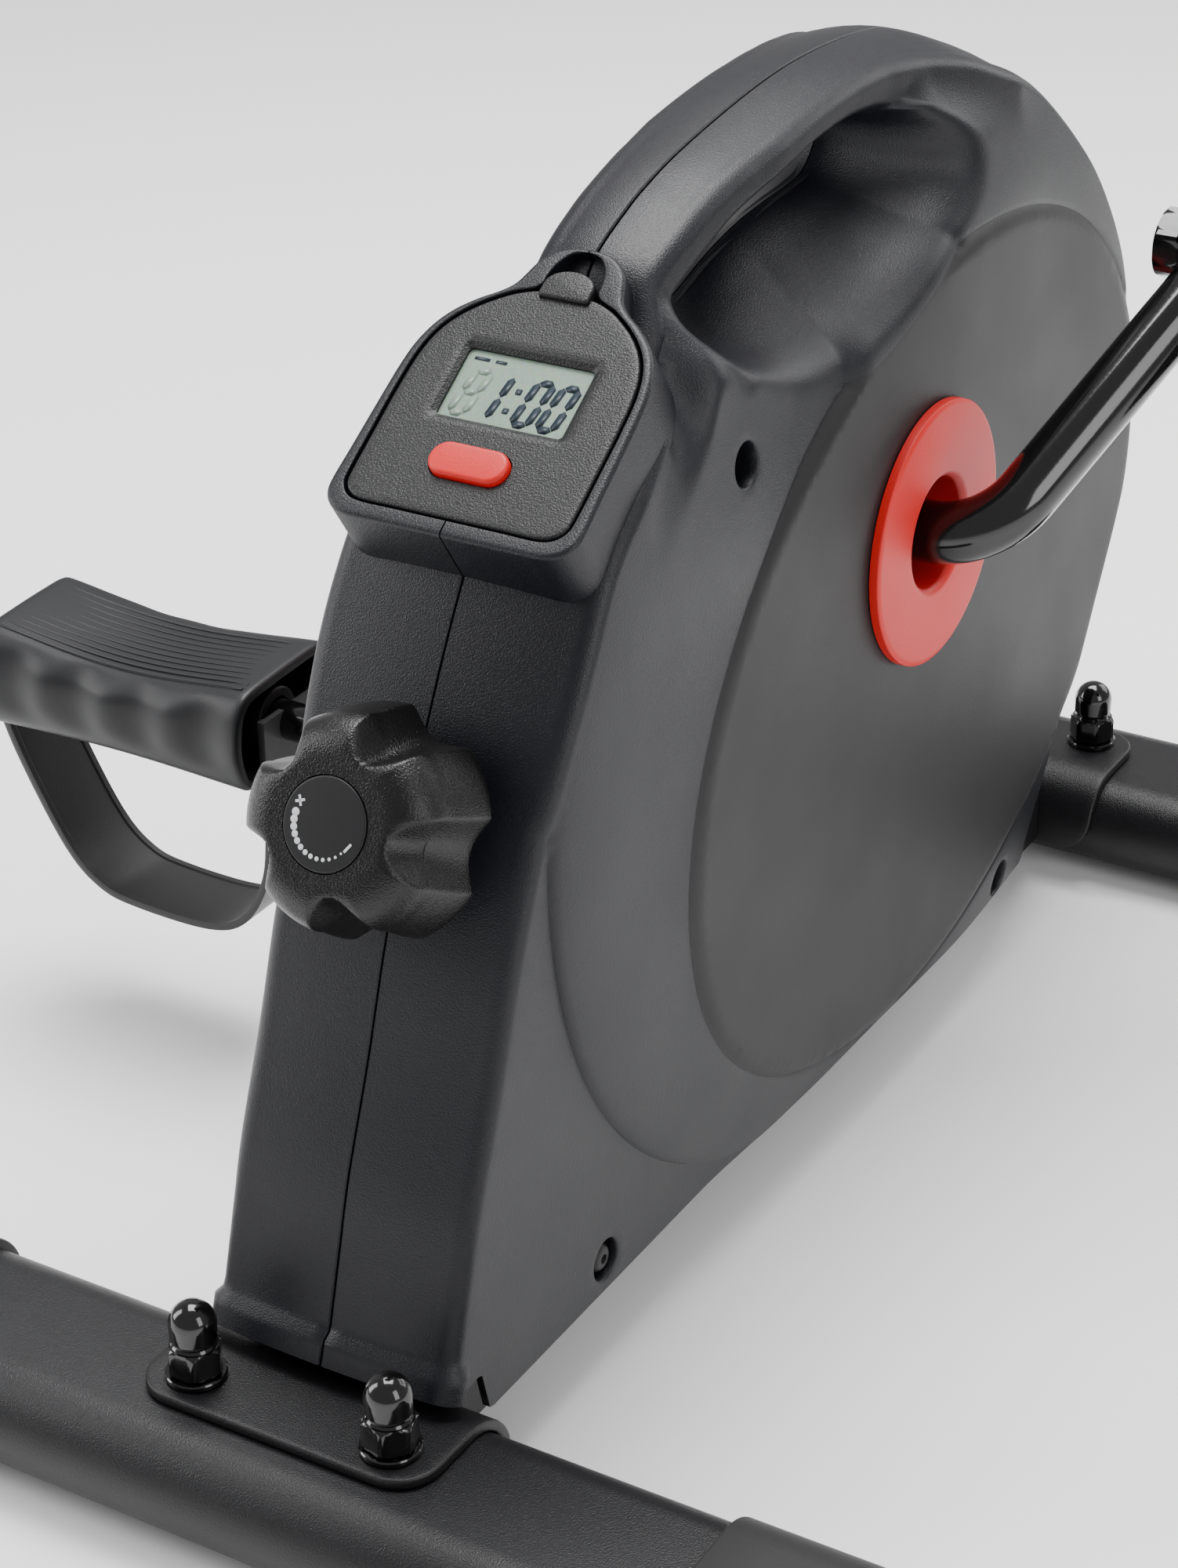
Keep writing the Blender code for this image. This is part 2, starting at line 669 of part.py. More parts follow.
def support_plate(side, finish):
    """Upright plate that carries the bearings and the flywheel axle."""
    span = sorted((side * PLATE_X, side * (PLATE_X + SUPPORT_PLATE)))
    front = FLYWHEEL_Y - 26 * MM
    rear = CRANK_Y + 26 * MM
    outline = [(front, BEAM_BOTTOM + 12 * MM), (rear + 12 * MM, BEAM_BOTTOM + 12 * MM)]
    outline += arc((CRANK_Y, CRANK_Z), 24 * MM, 0, 100, 6)
    outline += arc((FLYWHEEL_Y, FLYWHEEL_Z), 24 * MM, 100, 180, 6)
    made = prism(outline, *span)
    if side < 0:
        join(made, prism(ear_outline(), *span))
    wide = (-60 * MM, 60 * MM)
    cut(made, cylinder(BEARING_RADIUS + GAP, *wide, centre=(CRANK_Y, CRANK_Z)))
    cut(made, cylinder(FLYWHEEL_AXLE_RADIUS + GAP, *wide, centre=(FLYWHEEL_Y, FLYWHEEL_Z), sides=20))
    if side < 0:
        y, z = magnet_pivot()
        pin = (-PLATE_X - SUPPORT_PLATE / 2, FLYWHEEL_X[1])
        join(made, cylinder(MAGNET_PIN_RADIUS, *pin, centre=(y, z), sides=16))
    return part(made, ("right" if side > 0 else "left") + "_support_plate", finish)


# ---------------------------------------------------------------- fasteners

def bolt(name, x, y, finish):
    """Carriage bolt up through a stabilizer and its bracket."""
    head = TUBE_BOTTOM - GAP
    top = NUT_BASE + NUT_HEX_HEIGHT
    profile = [(0, top), (BOLT_RADIUS - 0.6 * MM, top), (BOLT_RADIUS, top - 0.6 * MM),
               (BOLT_RADIUS, head), (BOLT_HEAD_RADIUS, head),
               (0.8 * BOLT_HEAD_RADIUS, head - 1.7 * MM), (0, head - 2.4 * MM)]
    return part(turned(profile, Matrix.Identity(4), (x, y), 12), name, finish)


def washer(name, x, y, finish):
    """Flat washer under a cap nut."""
    low = PLATE_TOP + GAP
    made = ring(WASHER_RADIUS, BOLT_RADIUS + RUN, low, low + WASHER_THICKNESS,
                Matrix.Identity(4), (x, y), 14)
    return part(made, name, finish)


def cap_nut(name, x, y, finish):
    """Domed cap nut: a hexagon with an acorn top and a blind bore."""
    corner = NUT_ACROSS_FLATS / math.sqrt(3)
    made = cylinder(corner, NUT_BASE, NUT_BASE + NUT_HEX_HEIGHT, Matrix.Identity(4), (x, y), 6)
    centre = NUT_BASE + NUT_HEIGHT - NUT_DOME_RADIUS
    dome = [(r, z) for r, z in arc((0, centre), NUT_DOME_RADIUS, 90, 0, 3)]
    dome[0] = (0, dome[0][1])
    profile = dome + [(NUT_DOME_RADIUS, NUT_BASE + 2 * MM), (0, NUT_BASE + 2 * MM)]
    join(made, turned(profile, Matrix.Identity(4), (x, y), 12))
    bore = (NUT_BASE - 1 * MM, NUT_BASE + NUT_HEX_HEIGHT + GAP)
    cut(made, cylinder(BOLT_RADIUS + RUN, *bore, Matrix.Identity(4), (x, y), 12))
    return part(made, name, finish)


# ---------------------------------------------------------------- drive

def crank_axle(finish):
    """Round axle that turns in the two bearings."""
    made = cylinder(CRANK_AXLE_RADIUS, -CRANK_AXLE_HALF, CRANK_AXLE_HALF,
                    centre=(CRANK_Y, CRANK_Z), sides=28)
    return part(made, "crank_axle", finish)


def bearing(side, finish):
    """Ball bearing seated in a support plate."""
    middle = PLATE_X + SUPPORT_PLATE / 2
    span = sorted((side * (middle - BEARING_WIDTH / 2), side * (middle + BEARING_WIDTH / 2)))
    made = ring(BEARING_RADIUS, CRANK_AXLE_RADIUS + RUN, *span, OUTLINE_YZ, (CRANK_Y, CRANK_Z), 28)
    return part(made, ("right" if side > 0 else "left") + "_bearing", finish)


def flywheel_axle(finish):
    """Fixed spindle across the two support plates."""
    half = PLATE_X + SUPPORT_PLATE + 1.5 * MM
    made = cylinder(FLYWHEEL_AXLE_RADIUS, -half, half, centre=(FLYWHEEL_Y, FLYWHEEL_Z), sides=24)
    return part(made, "flywheel_axle", finish)


def crank_arm(side, finish):
    """Bent rod from the axle out to the pedal eye."""
    start = CRANK_AXLE_HALF + GAP
    slope = Vector((CRANK_TIP_X - CRANK_BEND_X, CRANK_RADIUS)).normalized()
    turn = math.acos(slope.x)
    tangent = CRANK_BEND_RADIUS * math.tan(turn / 2)
    first = Vector((CRANK_BEND_X - tangent, 0))
    bend = [first + Vector((math.sin(a), 1 - math.cos(a))) * CRANK_BEND_RADIUS
            for a in (turn * k / 6 for k in range(7))]
    line = [Vector((start, 0))] + bend + [Vector((CRANK_TIP_X, CRANK_RADIUS))]
    reach = Vector((math.cos(CRANK_ANGLE), math.sin(CRANK_ANGLE))) * side
    points = [(side * p.x, CRANK_Y + reach.x * p.y, CRANK_Z + reach.y * p.y) for p in line]
    made = rod(points, CRANK_ROD_RADIUS, 3)
    eye = sorted((side * (CRANK_TIP_X - CRANK_ROD_RADIUS), side * (CRANK_TIP_X + CRANK_ROD_RADIUS)))
    centre = pedal_centre(side)
    join(made, cylinder(CRANK_EYE_RADIUS, *eye, centre=centre, sides=20))
    for reach_x in (-1, 1):
        face = CRANK_TIP_X + reach_x * CRANK_ROD_RADIUS
        spot = sorted((side * face, side * (face + reach_x * 20 * MM)))
        cut(made, cylinder(CRANK_EYE_RADIUS + 1 * MM, *spot, centre=centre, sides=24))
    cut(made, cylinder(SPINDLE_RADIUS + GAP, side * CRANK_TIP_X - 30 * MM,
                       side * CRANK_TIP_X + 30 * MM, centre=centre, sides=20))
    return part(made, ("right" if side > 0 else "left") + "_crank_arm", finish)


def pedal_centre(side):
    """Pedal axis of one side, as (y, z)."""
    return (CRANK_Y + side * CRANK_RADIUS * math.cos(CRANK_ANGLE),
            CRANK_Z + side * CRANK_RADIUS * math.sin(CRANK_ANGLE))


def drive_pulley(finish):
    """Grooved pulley on the crank axle, with lightening holes."""
    low, high = PULLEY_X
    rim = PULLEY_RADIUS
    bore = CRANK_AXLE_RADIUS + GAP
    profile = [(rim + 2 * MM, high), (rim + 2 * MM, high - 1 * MM), (rim, high - 1.4 * MM),
               (rim, low + 1.4 * MM), (rim + 2 * MM, low + 1 * MM), (rim + 2 * MM, low),
               (rim - 6 * MM, low), (rim - 8 * MM, low + 3 * MM), (22 * MM, low + 3 * MM),
               (20 * MM, low - 3 * MM), (bore, low - 3 * MM), (bore, high + 2 * MM),
               (20 * MM, high + 2 * MM), (22 * MM, high - 3 * MM),
               (rim - 8 * MM, high - 3 * MM), (rim - 6 * MM, high)]
    made = turned(profile, OUTLINE_YZ, (CRANK_Y, CRANK_Z), 28)
    for k in range(5):
        a = 2 * math.pi * k / 5
        middle = (CRANK_Y + 38 * MM * math.cos(a), CRANK_Z + 38 * MM * math.sin(a))
        cut(made, cylinder(9 * MM, 0, 30 * MM, centre=middle, sides=10))
    return part(made, "drive_pulley", finish)


def belt_outline(grow):
    """Open-belt loop round both pulleys, grown outwards."""
    big = Vector((CRANK_Y, CRANK_Z))
    small = Vector((FLYWHEEL_Y, FLYWHEEL_Z))
    run = big - small
    lean = math.degrees(math.atan2(run.y, run.x))
    wrap = math.degrees(math.asin((PULLEY_RADIUS - FLYWHEEL_PULLEY_RADIUS) / run.length))
    near = 90 + wrap
    loop = arc(big, PULLEY_RADIUS + grow, lean - near, lean + near, 18)
    return loop + arc(small, FLYWHEEL_PULLEY_RADIUS + grow, lean + near, lean + 360 - near, 8)


def drive_belt(finish):
    """Flat belt from the drive pulley to the flywheel pulley."""
    low, high = PULLEY_X
    inset = 1.8 * MM
    made = prism(belt_outline(BELT_LIFT + BELT_THICKNESS), low + inset, high - inset)
    cut(made, prism(belt_outline(BELT_LIFT), low, high))
    return part(made, "drive_belt", finish)


def flywheel(finish):
    """Cast disc with a heavy rim, turning on the fixed axle."""
    low, high = FLYWHEEL_X
    rim = FLYWHEEL_RADIUS
    bore = FLYWHEEL_AXLE_RADIUS + RUN
    profile = [(rim, high), (rim, low), (rim - 14 * MM, low), (rim - 16 * MM, low + 4 * MM),
               (20 * MM, low + 4 * MM), (18 * MM, low - 2 * MM), (bore, low - 2 * MM),
               (bore, high + 2 * MM), (18 * MM, high + 2 * MM), (20 * MM, high - 4 * MM),
               (rim - 16 * MM, high - 4 * MM), (rim - 14 * MM, high)]
    made = turned(profile, OUTLINE_YZ, (FLYWHEEL_Y, FLYWHEEL_Z), 32)
    return part(made, "flywheel", finish)


def flywheel_pulley(finish):
    """Small pulley on the flywheel's hub."""
    low = FLYWHEEL_X[1] + 2 * MM + GAP
    high = PULLEY_X[1]
    rim = FLYWHEEL_PULLEY_RADIUS
    bore = FLYWHEEL_AXLE_RADIUS + RUN
    belt = PULLEY_X[0]
    profile = [(rim + 2 * MM, high), (rim + 2 * MM, high - 1 * MM), (rim, high - 1.4 * MM),
               (rim, belt + 1.4 * MM), (rim + 2 * MM, belt + 1 * MM), (rim + 2 * MM, belt),
               (rim - 3 * MM, low), (bore, low), (bore, high)]
    made = turned(profile, OUTLINE_YZ, (FLYWHEEL_Y, FLYWHEEL_Z), 20)
    return part(made, "flywheel_pulley", finish)


def magnet_pivot():
    """Pivot of the magnet carrier, as (y, z)."""
    radius = FLYWHEEL_RADIUS + MAGNET_GAP + MAGNET_BAND + 3 * MM
    return arc((FLYWHEEL_Y, FLYWHEEL_Z), radius, MAGNET_PIVOT_ANGLE, 90, 1)[0]


def magnet_carrier(finish):
    """Curved shoe that holds the brake magnets over the flywheel's rim."""
    low, high = FLYWHEEL_X
    centre = (FLYWHEEL_Y, FLYWHEEL_Z)
    inner = FLYWHEEL_RADIUS + MAGNET_GAP
    start, end = MAGNET_ARC
    outline = arc(centre, inner, start - 6, end, 10) + arc(centre, inner + MAGNET_BAND, end, start - 6, 10)
    made = prism(outline[::-1], low, high - 2 * MM)
    pivot = magnet_pivot()
    join(made, cylinder(MAGNET_PIN_RADIUS + 4 * MM, low, high - 2 * MM, centre=pivot, sides=20))
    cut(made, cylinder(inner - 0.5 * MM, low - 5 * MM, high + 5 * MM, centre=centre, sides=64))
    cut(made, cylinder(MAGNET_PIN_RADIUS + RUN, low - 5 * MM, high + 5 * MM, centre=pivot, sides=16))
    return part(made, "magnet_carrier", finish)


def tension_cable(finish):
    """Brake cable from the knob's shaft to the magnet carrier."""
    start = KNOB_FRAME @ Vector((0, 0, -KNOB_SHAFT_LENGTH - 1 * MM))
    end_angle = MAGNET_ARC[1] + 3
    radius = FLYWHEEL_RADIUS + MAGNET_GAP + MAGNET_BAND / 2
    y, z = arc((FLYWHEEL_Y, FLYWHEEL_Z), radius, end_angle, 90, 1)[0]
    x = sum(FLYWHEEL_X) / 2
    turn = Vector((x * 0.7, (start.y + y) / 2, max(start.z, z) + 4 * MM))
    points = spline([tuple(start), tuple(turn), (x, y, z)], 5)
    return part(rod(points, 1 * MM, 2), "tension_cable", finish)


def speed_sensor(finish):
    """Reed sensor on the right support plate, beside the drive pulley."""
    x = PLATE_X - GAP
    low = (x - 5 * MM, CRANK_Y - 50 * MM, CRANK_Z - 28 * MM)
    high = (x, CRANK_Y - 42 * MM, CRANK_Z - 12 * MM)
    return part(bevel(box(low, high), 0.8 * MM, 1), "speed_sensor", finish)


# ---------------------------------------------------------------- pedals

def pedal_outline(grow=0.0):
    """Section of a pedal about its axis, anticlockwise in (y, z)."""
    line = [(23, 14.5), (21, 17), (-14, 15.5), (-20, 13), (-24, 6), (-24.5, -4), (-21, -14),
            (-18, -17), (16, -15), (21, -11), (23.5, 0)]
    return offset([(y * MM, z * MM) for y, z in line], grow)


def pedal(side, finish):
    """Hollow foot rest, open at its inner end, with a tube for the spindle."""
    low = PEDAL_INNER_X
    high = PEDAL_INNER_X + PEDAL_LENGTH
    y, z = pedal_centre(side)
    here = Matrix.Translation((0, y, z))
    frame = here @ OUTLINE_YZ
    outer = sorted((side * low, side * high))
    made = prism(pedal_outline(), *outer, frame)
    bevel(made, 1.5 * MM, 1, 50)
    depth = sorted((side * (low - 2 * MM), side * (high - PEDAL_WALL)))
    hollow = prism(pedal_outline(-PEDAL_WALL), *depth, frame)
    cut(hollow, cylinder(PEDAL_TUBE_RADIUS, *sorted((side * (low + 2 * MM), side * high)), frame, sides=24))
    cut(made, hollow)
    bore = sorted((side * (low - 5 * MM), side * (high - 6 * MM)))
    cut(made, cylinder(SPINDLE_RADIUS + RUN, *bore, frame, sides=24))
    return part(made, ("right" if side > 0 else "left") + "_pedal", finish)


def strap_line():
    """Middle line of the hanging strap, from inner end to outer end, in (x, z)."""
    inner = PEDAL_INNER_X - GAP - STRAP_THICKNESS
    outer = PEDAL_INNER_X + PEDAL_LENGTH + GAP + STRAP_THICKNESS
    top = 5 * MM
    down = [(inner, top), (inner, -0.55 * STRAP_DROP)]
    bottom = spline([(inner, -0.55 * STRAP_DROP), (inner + 6 * MM, -0.84 * STRAP_DROP),
                     (inner + 24 * MM, -STRAP_DROP), (outer - 42 * MM, -STRAP_DROP),
                     (outer - 20 * MM, -0.84 * STRAP_DROP), (outer + 1 * MM, -0.2 * STRAP_DROP)], 4)
    return down[:1] + bottom + [(outer, top)]


def strap(side, finish):
    """Foot strap: a band looped under the pedal from end to end."""
    y, z = pedal_centre(side)
    outline = band(strap_line(), STRAP_THICKNESS)
    # the frame draws (z, x) and extrudes along Y
    turned_outline = [(v, side * u) for u, v in outline]
    frame = Matrix.Translation((0, y, z)) @ OUTLINE_ZX
    made = prism(turned_outline, -STRAP_WIDTH / 2, STRAP_WIDTH / 2, frame)
    hole = sorted((side * (PEDAL_INNER_X - 12 * MM), side * (PEDAL_INNER_X + 12 * MM)))
    cut(made, cylinder(SPINDLE_RADIUS + 1 * MM, *hole, centre=(y, z), sides=20))
    return part(made, ("right" if side > 0 else "left") + "_strap", finish)


def pedal_spindle(side, finish):
    """Steel spindle screwed through the crank eye and running in the pedal."""
    shoulder = CRANK_TIP_X + CRANK_ROD_RADIUS + GAP
    start = CRANK_TIP_X - CRANK_ROD_RADIUS - 7 * MM
    end = PEDAL_INNER_X + PEDAL_LENGTH - 8 * MM
    collar = SPINDLE_RADIUS + 3 * MM
    profile = [(0, end), (SPINDLE_RADIUS - 1 * MM, end), (SPINDLE_RADIUS, end - 1 * MM),
               (SPINDLE_RADIUS, shoulder + 10 * MM), (collar, shoulder + 10 * MM),
               (collar, shoulder), (SPINDLE_RADIUS, shoulder), (SPINDLE_RADIUS, start), (0, start)]
    flip = Matrix.Identity(4) if side > 0 else Matrix.Rotation(math.pi, 4, "Z")
    y, z = pedal_centre(side)
    frame = Matrix.Translation((0, y, z)) @ flip @ OUTLINE_YZ
    made = turned(profile, frame, sides=20)
    return part(made, ("right" if side > 0 else "left") + "_pedal_spindle", finish)


def pedal_nut(side, finish):
    """Hexagon nut on the inner face of the crank eye."""
    high = CRANK_TIP_X - CRANK_ROD_RADIUS - GAP
    span = sorted((side * (high - 8 * MM), side * high))
    y, z = pedal_centre(side)
    made = cylinder(11 * MM, *span, centre=(y, z), sides=6)
    cut(made, cylinder(SPINDLE_RADIUS + GAP, span[0] - 5 * MM, span[1] + 5 * MM, centre=(y, z), sides=20))
    return part(made, ("right" if side > 0 else "left") + "_pedal_nut", finish)


# ---------------------------------------------------------------- knob

def resistance_knob(finish):
    """Lobed knob and its shaft, on the leaning front face."""
    count = 12 * KNOB_LOBES
    outline = []
    for k in range(count):
        a = 2 * math.pi * k / count
        radius = KNOB_RADIUS + KNOB_LOBE * math.cos(KNOB_LOBES * (a - KNOB_LOBE_TURN))
        outline.append((radius * math.cos(a), radius * math.sin(a)))
    top = KNOB_STAND_OFF + KNOB_DEPTH
    made = prism(outline, KNOB_STAND_OFF, top, KNOB_FRAME)
    bevel(made, 3 * MM, 1, 60)
    shaft = (-KNOB_SHAFT_LENGTH, KNOB_STAND_OFF + 5 * MM)
    join(made, cylinder(KNOB_SHAFT_RADIUS, *shaft, KNOB_FRAME, sides=20))
    cut(made, cylinder(KNOB_CAP_RADIUS + GAP, top - KNOB_CAP_THICKNESS - GAP, top + 5 * MM,
                       KNOB_FRAME, sides=28))
    return part(made, "resistance_knob", finish)


def knob_cap(finish):
    """Label disc set into the knob's face."""
    top = KNOB_STAND_OFF + KNOB_DEPTH
    made = cylinder(KNOB_CAP_RADIUS, top - KNOB_CAP_THICKNESS, top, KNOB_FRAME, sides=28)
    return part(made, "knob_cap", finish)


def knob_bush(finish):
    """Flanged bush that guides the knob's shaft through the housing."""
    bore = KNOB_SHAFT_RADIUS + RUN
    profile = [(BUSH_FLANGE_RADIUS, BUSH_FLANGE), (BUSH_FLANGE_RADIUS, 1.2 * MM),
               (BUSH_RADIUS, 1.2 * MM), (BUSH_RADIUS, -12 * MM), (bore, -12 * MM), (bore, BUSH_FLANGE)]
    return part(turned(profile, KNOB_FRAME, sides=20), "knob_bush", finish)


# ---------------------------------------------------------------- console

def console_case(finish):
    """Drop-in console module with a latch tab at the top."""
    outline = shield_outline(CASE_HALF_WIDTH, *CASE_S)
    made = prism(outline, -CASE_DEPTH, 0.4 * MM, CONSOLE_FRAME)
    latch = rounded(LATCH_HALF_WIDTH, (LATCH_S[1] - LATCH_S[0]) / 2, 3 * MM,
                    (0, sum(LATCH_S) / 2))
    join(made, prism(latch, -7 * MM, 0.9 * MM, CONSOLE_FRAME))
    hollow = shield_outline(CASE_HALF_WIDTH - 2 * MM, CASE_S[0] + 2 * MM, CASE_S[1] - 7 * MM)
    cut(made, prism(hollow, -CASE_DEPTH - 2 * MM, -CASE_SKIN, CONSOLE_FRAME))
    window = rounded(DISPLAY_SIZE[0] / 2 + GAP, DISPLAY_SIZE[1] / 2 + GAP, 1.5 * MM)
    cut(made, prism(window, -CASE_DEPTH, 5 * MM, CONSOLE_FRAME))
    cut(made, prism(button_outline(GAP), -CASE_DEPTH, 5 * MM, CONSOLE_FRAME))
    return part(made, "console_case", finish)


def button_outline(grow=0.0):
    """Oblong outline of the console's button."""
    return stadium(BUTTON_SIZE[0] / 2 + grow, BUTTON_SIZE[1] / 2 + grow, (0, BUTTON_S))


def console_button(finish):
    """Push button that stands a little proud of the console."""
    made = prism(button_outline(), -CASE_SKIN - 0.6 * MM, BUTTON_PROUD, CONSOLE_FRAME)
    return part(bevel(made, 0.7 * MM, 2, 60), "console_button", finish)


def display_panel(finish):
    """Liquid crystal panel behind the console's window."""
    outline = rounded(DISPLAY_SIZE[0] / 2, DISPLAY_SIZE[1] / 2, 1.2 * MM)
    made = prism(outline, -DISPLAY_RECESS - DISPLAY_THICKNESS, -DISPLAY_RECESS, CONSOLE_FRAME)
    return part(made, "display_panel", finish)


def circuit_board(finish):
    """Board under the display and the button."""
    high = -CASE_SKIN - 2.9 * MM
    outline = rounded(22 * MM, 19 * MM, 2 * MM, (0, -9 * MM))
    made = prism(outline, high - BOARD_THICKNESS, high, CONSOLE_FRAME)
    return part(made, "circuit_board", finish)


def button_cell(finish):
    """Cell under the circuit board."""
    high = -CASE_SKIN - 2.9 * MM - BOARD_THICKNESS - GAP
    made = cylinder(CELL_RADIUS, high - CELL_THICKNESS, high, CONSOLE_FRAME, (0, -12 * MM), 24)
    return part(made, "button_cell", finish)


# ---------------------------------------------------------------- assembly

def clear_scene():
    """Start from an empty scene."""
    for obj in list(bpy.data.objects):
        bpy.data.objects.remove(obj, do_unlink=True)


def build():
    """Model every part."""
    global PARTS, CUTTERS
    clear_scene()
    PARTS = bpy.data.collections.new("pedal_exerciser")
    CUTTERS = bpy.data.collections.new("cutters")
    bpy.context.scene.collection.children.link(PARTS)
    bpy.context.scene.collection.children.link(CUTTERS)

    housing = material("housing_abs", (0.045, 0.046, 0.055), 0.55)
    red = material("red_abs", (0.72, 0.05, 0.03), 0.4)
    coat = material("satin_powder_coat", (0.03, 0.03, 0.034), 0.45)
    gloss = material("gloss_black_steel", (0.012, 0.012, 0.013), 0.12, 0.4)
    rubber = material("cap_rubber", (0.02, 0.02, 0.021), 0.75)
    pedal_plastic = material("pedal_plastic", (0.05, 0.052, 0.055), 0.6)
    strap_rubber = material("strap_rubber", (0.02, 0.02, 0.022), 0.55)
    steel = material("bright_steel", (0.55, 0.55, 0.56), 0.3, 1.0)
    iron = material("cast_iron", (0.16, 0.16, 0.17), 0.5, 0.9)
    black = material("black_plastic", (0.018, 0.018, 0.02), 0.38)
    label = material("label_plastic", (0.014, 0.014, 0.016), 0.6)
    belt = material("belt_rubber", (0.02, 0.02, 0.02), 0.8)
    glass = material("display_glass", (0.36, 0.42, 0.37), 0.15)
    board = material("board_green", (0.02, 0.16, 0.06), 0.45)

    for side in (-1, 1):
        shell(side, housing)
        hub_ring(side, red)
        support_plate(side, coat)
    for name, centre in SCREW_PLACES.items():
        shell_screw(name, centre, steel)

    base_beam(coat)
    for row, inward in (("front", 1), ("rear", -1)):
        y = -inward * ROW_SPACING / 2
        stabilizer(row + "_stabilizer", y, coat)
        bracket(row + "_bracket", y, inward, coat)
        for hand, side in (("left", -1), ("right", 1)):
            x = side * BOLT_SPACING / 2
            place_name = row + "_" + hand
            end_cap(place_name + "_end_cap", side, y, rubber)
            bolt(place_name + "_bolt", x, y, steel)
            washer(place_name + "_washer", x, y, gloss)
            cap_nut(place_name + "_cap_nut", x, y, gloss)

    crank_parts = [crank_axle(steel), drive_pulley(black)]
    for side in (-1, 1):
        hand = "right" if side > 0 else "left"
        bearing(side, steel)
        crank_parts += [crank_arm(side, gloss), pedal_spindle(side, steel), pedal_nut(side, gloss)]
        y, z = pedal_centre(side)
        axis = hinge_frame(hand + "_pedal_axis", (side * PEDAL_INNER_X, y, z))
        carry(axis, pedal(side, pedal_plastic), strap(side, strap_rubber))
    carry(hinge_frame("crank_axis", (0, CRANK_Y, CRANK_Z)), *crank_parts)

    drive_belt(belt)
    flywheel_axle(steel)
    wheel_axis = hinge_frame("flywheel_axis", (0, FLYWHEEL_Y, FLYWHEEL_Z))
    carry(wheel_axis, flywheel(iron), flywheel_pulley(steel))
    carry(hinge_frame("magnet_axis", (0, *magnet_pivot())), magnet_carrier(coat))
    tension_cable(steel)
    speed_sensor(black)

    knob_axis = hinge_frame("knob_axis", None, KNOB_FRAME)
    carry(knob_axis, resistance_knob(black), knob_cap(label))
    knob_bush(black)

    console_case(black)
    display_panel(glass)
    circuit_board(board)
    button_cell(steel)
    button_axis = hinge_frame("button_axis", None, CONSOLE_FRAME @ Matrix.Translation((0, BUTTON_S, 0)))
    carry(button_axis, console_button(red))


build()
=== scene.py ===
"""Looks of a pedal exerciser: moulded shells, grip knob, console, cranks and feet.

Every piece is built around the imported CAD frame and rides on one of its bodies.
Lengths are metres. +X is the right-hand side, -Y the console side, +Z up.
"""

from __future__ import annotations

import json
import logging
import math
from dataclasses import dataclass, field
from enum import Enum
from typing import Iterable, Sequence

import bmesh
import bpy
import numpy as np
from mathutils import Matrix, Vector
from mathutils.geometry import delaunay_2d_cdt


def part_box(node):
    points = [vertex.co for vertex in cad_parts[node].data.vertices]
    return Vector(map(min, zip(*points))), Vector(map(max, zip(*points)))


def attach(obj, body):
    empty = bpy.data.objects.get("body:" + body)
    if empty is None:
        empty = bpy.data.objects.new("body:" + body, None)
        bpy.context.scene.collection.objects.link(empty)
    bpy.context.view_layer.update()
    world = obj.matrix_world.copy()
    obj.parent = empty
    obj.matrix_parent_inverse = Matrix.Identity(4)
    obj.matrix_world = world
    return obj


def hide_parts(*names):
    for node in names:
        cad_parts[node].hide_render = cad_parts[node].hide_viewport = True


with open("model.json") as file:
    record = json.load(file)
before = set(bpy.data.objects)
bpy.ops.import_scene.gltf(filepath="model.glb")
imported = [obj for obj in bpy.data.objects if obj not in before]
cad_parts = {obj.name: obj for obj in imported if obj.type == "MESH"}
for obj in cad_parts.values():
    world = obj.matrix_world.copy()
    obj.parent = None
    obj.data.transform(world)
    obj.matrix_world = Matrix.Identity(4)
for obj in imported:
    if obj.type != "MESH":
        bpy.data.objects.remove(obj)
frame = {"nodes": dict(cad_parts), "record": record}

MM = 0.001
LOG = logging.getLogger("pedal_exerciser")
HARD_EDGE = 35.0  # degrees; sharper edges stay hard unless a piece says otherwise
WELD_DISTANCE = 1e-6
COAT_ROUGHNESS = 0.06
MOTTLE_SCALE = 28.0
MOTTLE_DETAIL = 5.0
GRAIN_DETAIL = 2.5
GRAIN_SPECK = 0.25
GLOSSIEST = 0.02
Point2 = tuple[float, float]


class Side(Enum):
    """The two hands of the machine, with the sign of their X."""

    LEFT = -1
    RIGHT = 1

    @property
    def word(self) -> str:
        """Name used in node and piece names."""
        return self.name.lower()

    @property
    def turn(self) -> Matrix:
        """Half turn that carries the right-hand side to this one."""
        return Matrix.Identity(4) if self is Side.RIGHT else Matrix.Rotation(math.pi, 4, "Z")

    def span(self, low: float, high: float) -> Point2:
        """Order two values of x from the middle of the machine outwards, as positive numbers."""
        return (low, high) if self is Side.RIGHT else (-high, -low)


class Grain(Enum):
    """Surface grains of the mould or the coat: (noise scale, bump height)."""

    POLISHED = (900.0, 0.00002)
    SATIN = (2600.0, 0.00006)
    FINE = (2400.0, 0.00016)
    LEATHERY = (2100.0, 0.00020)


# ---------------------------------------------------------------- finishes


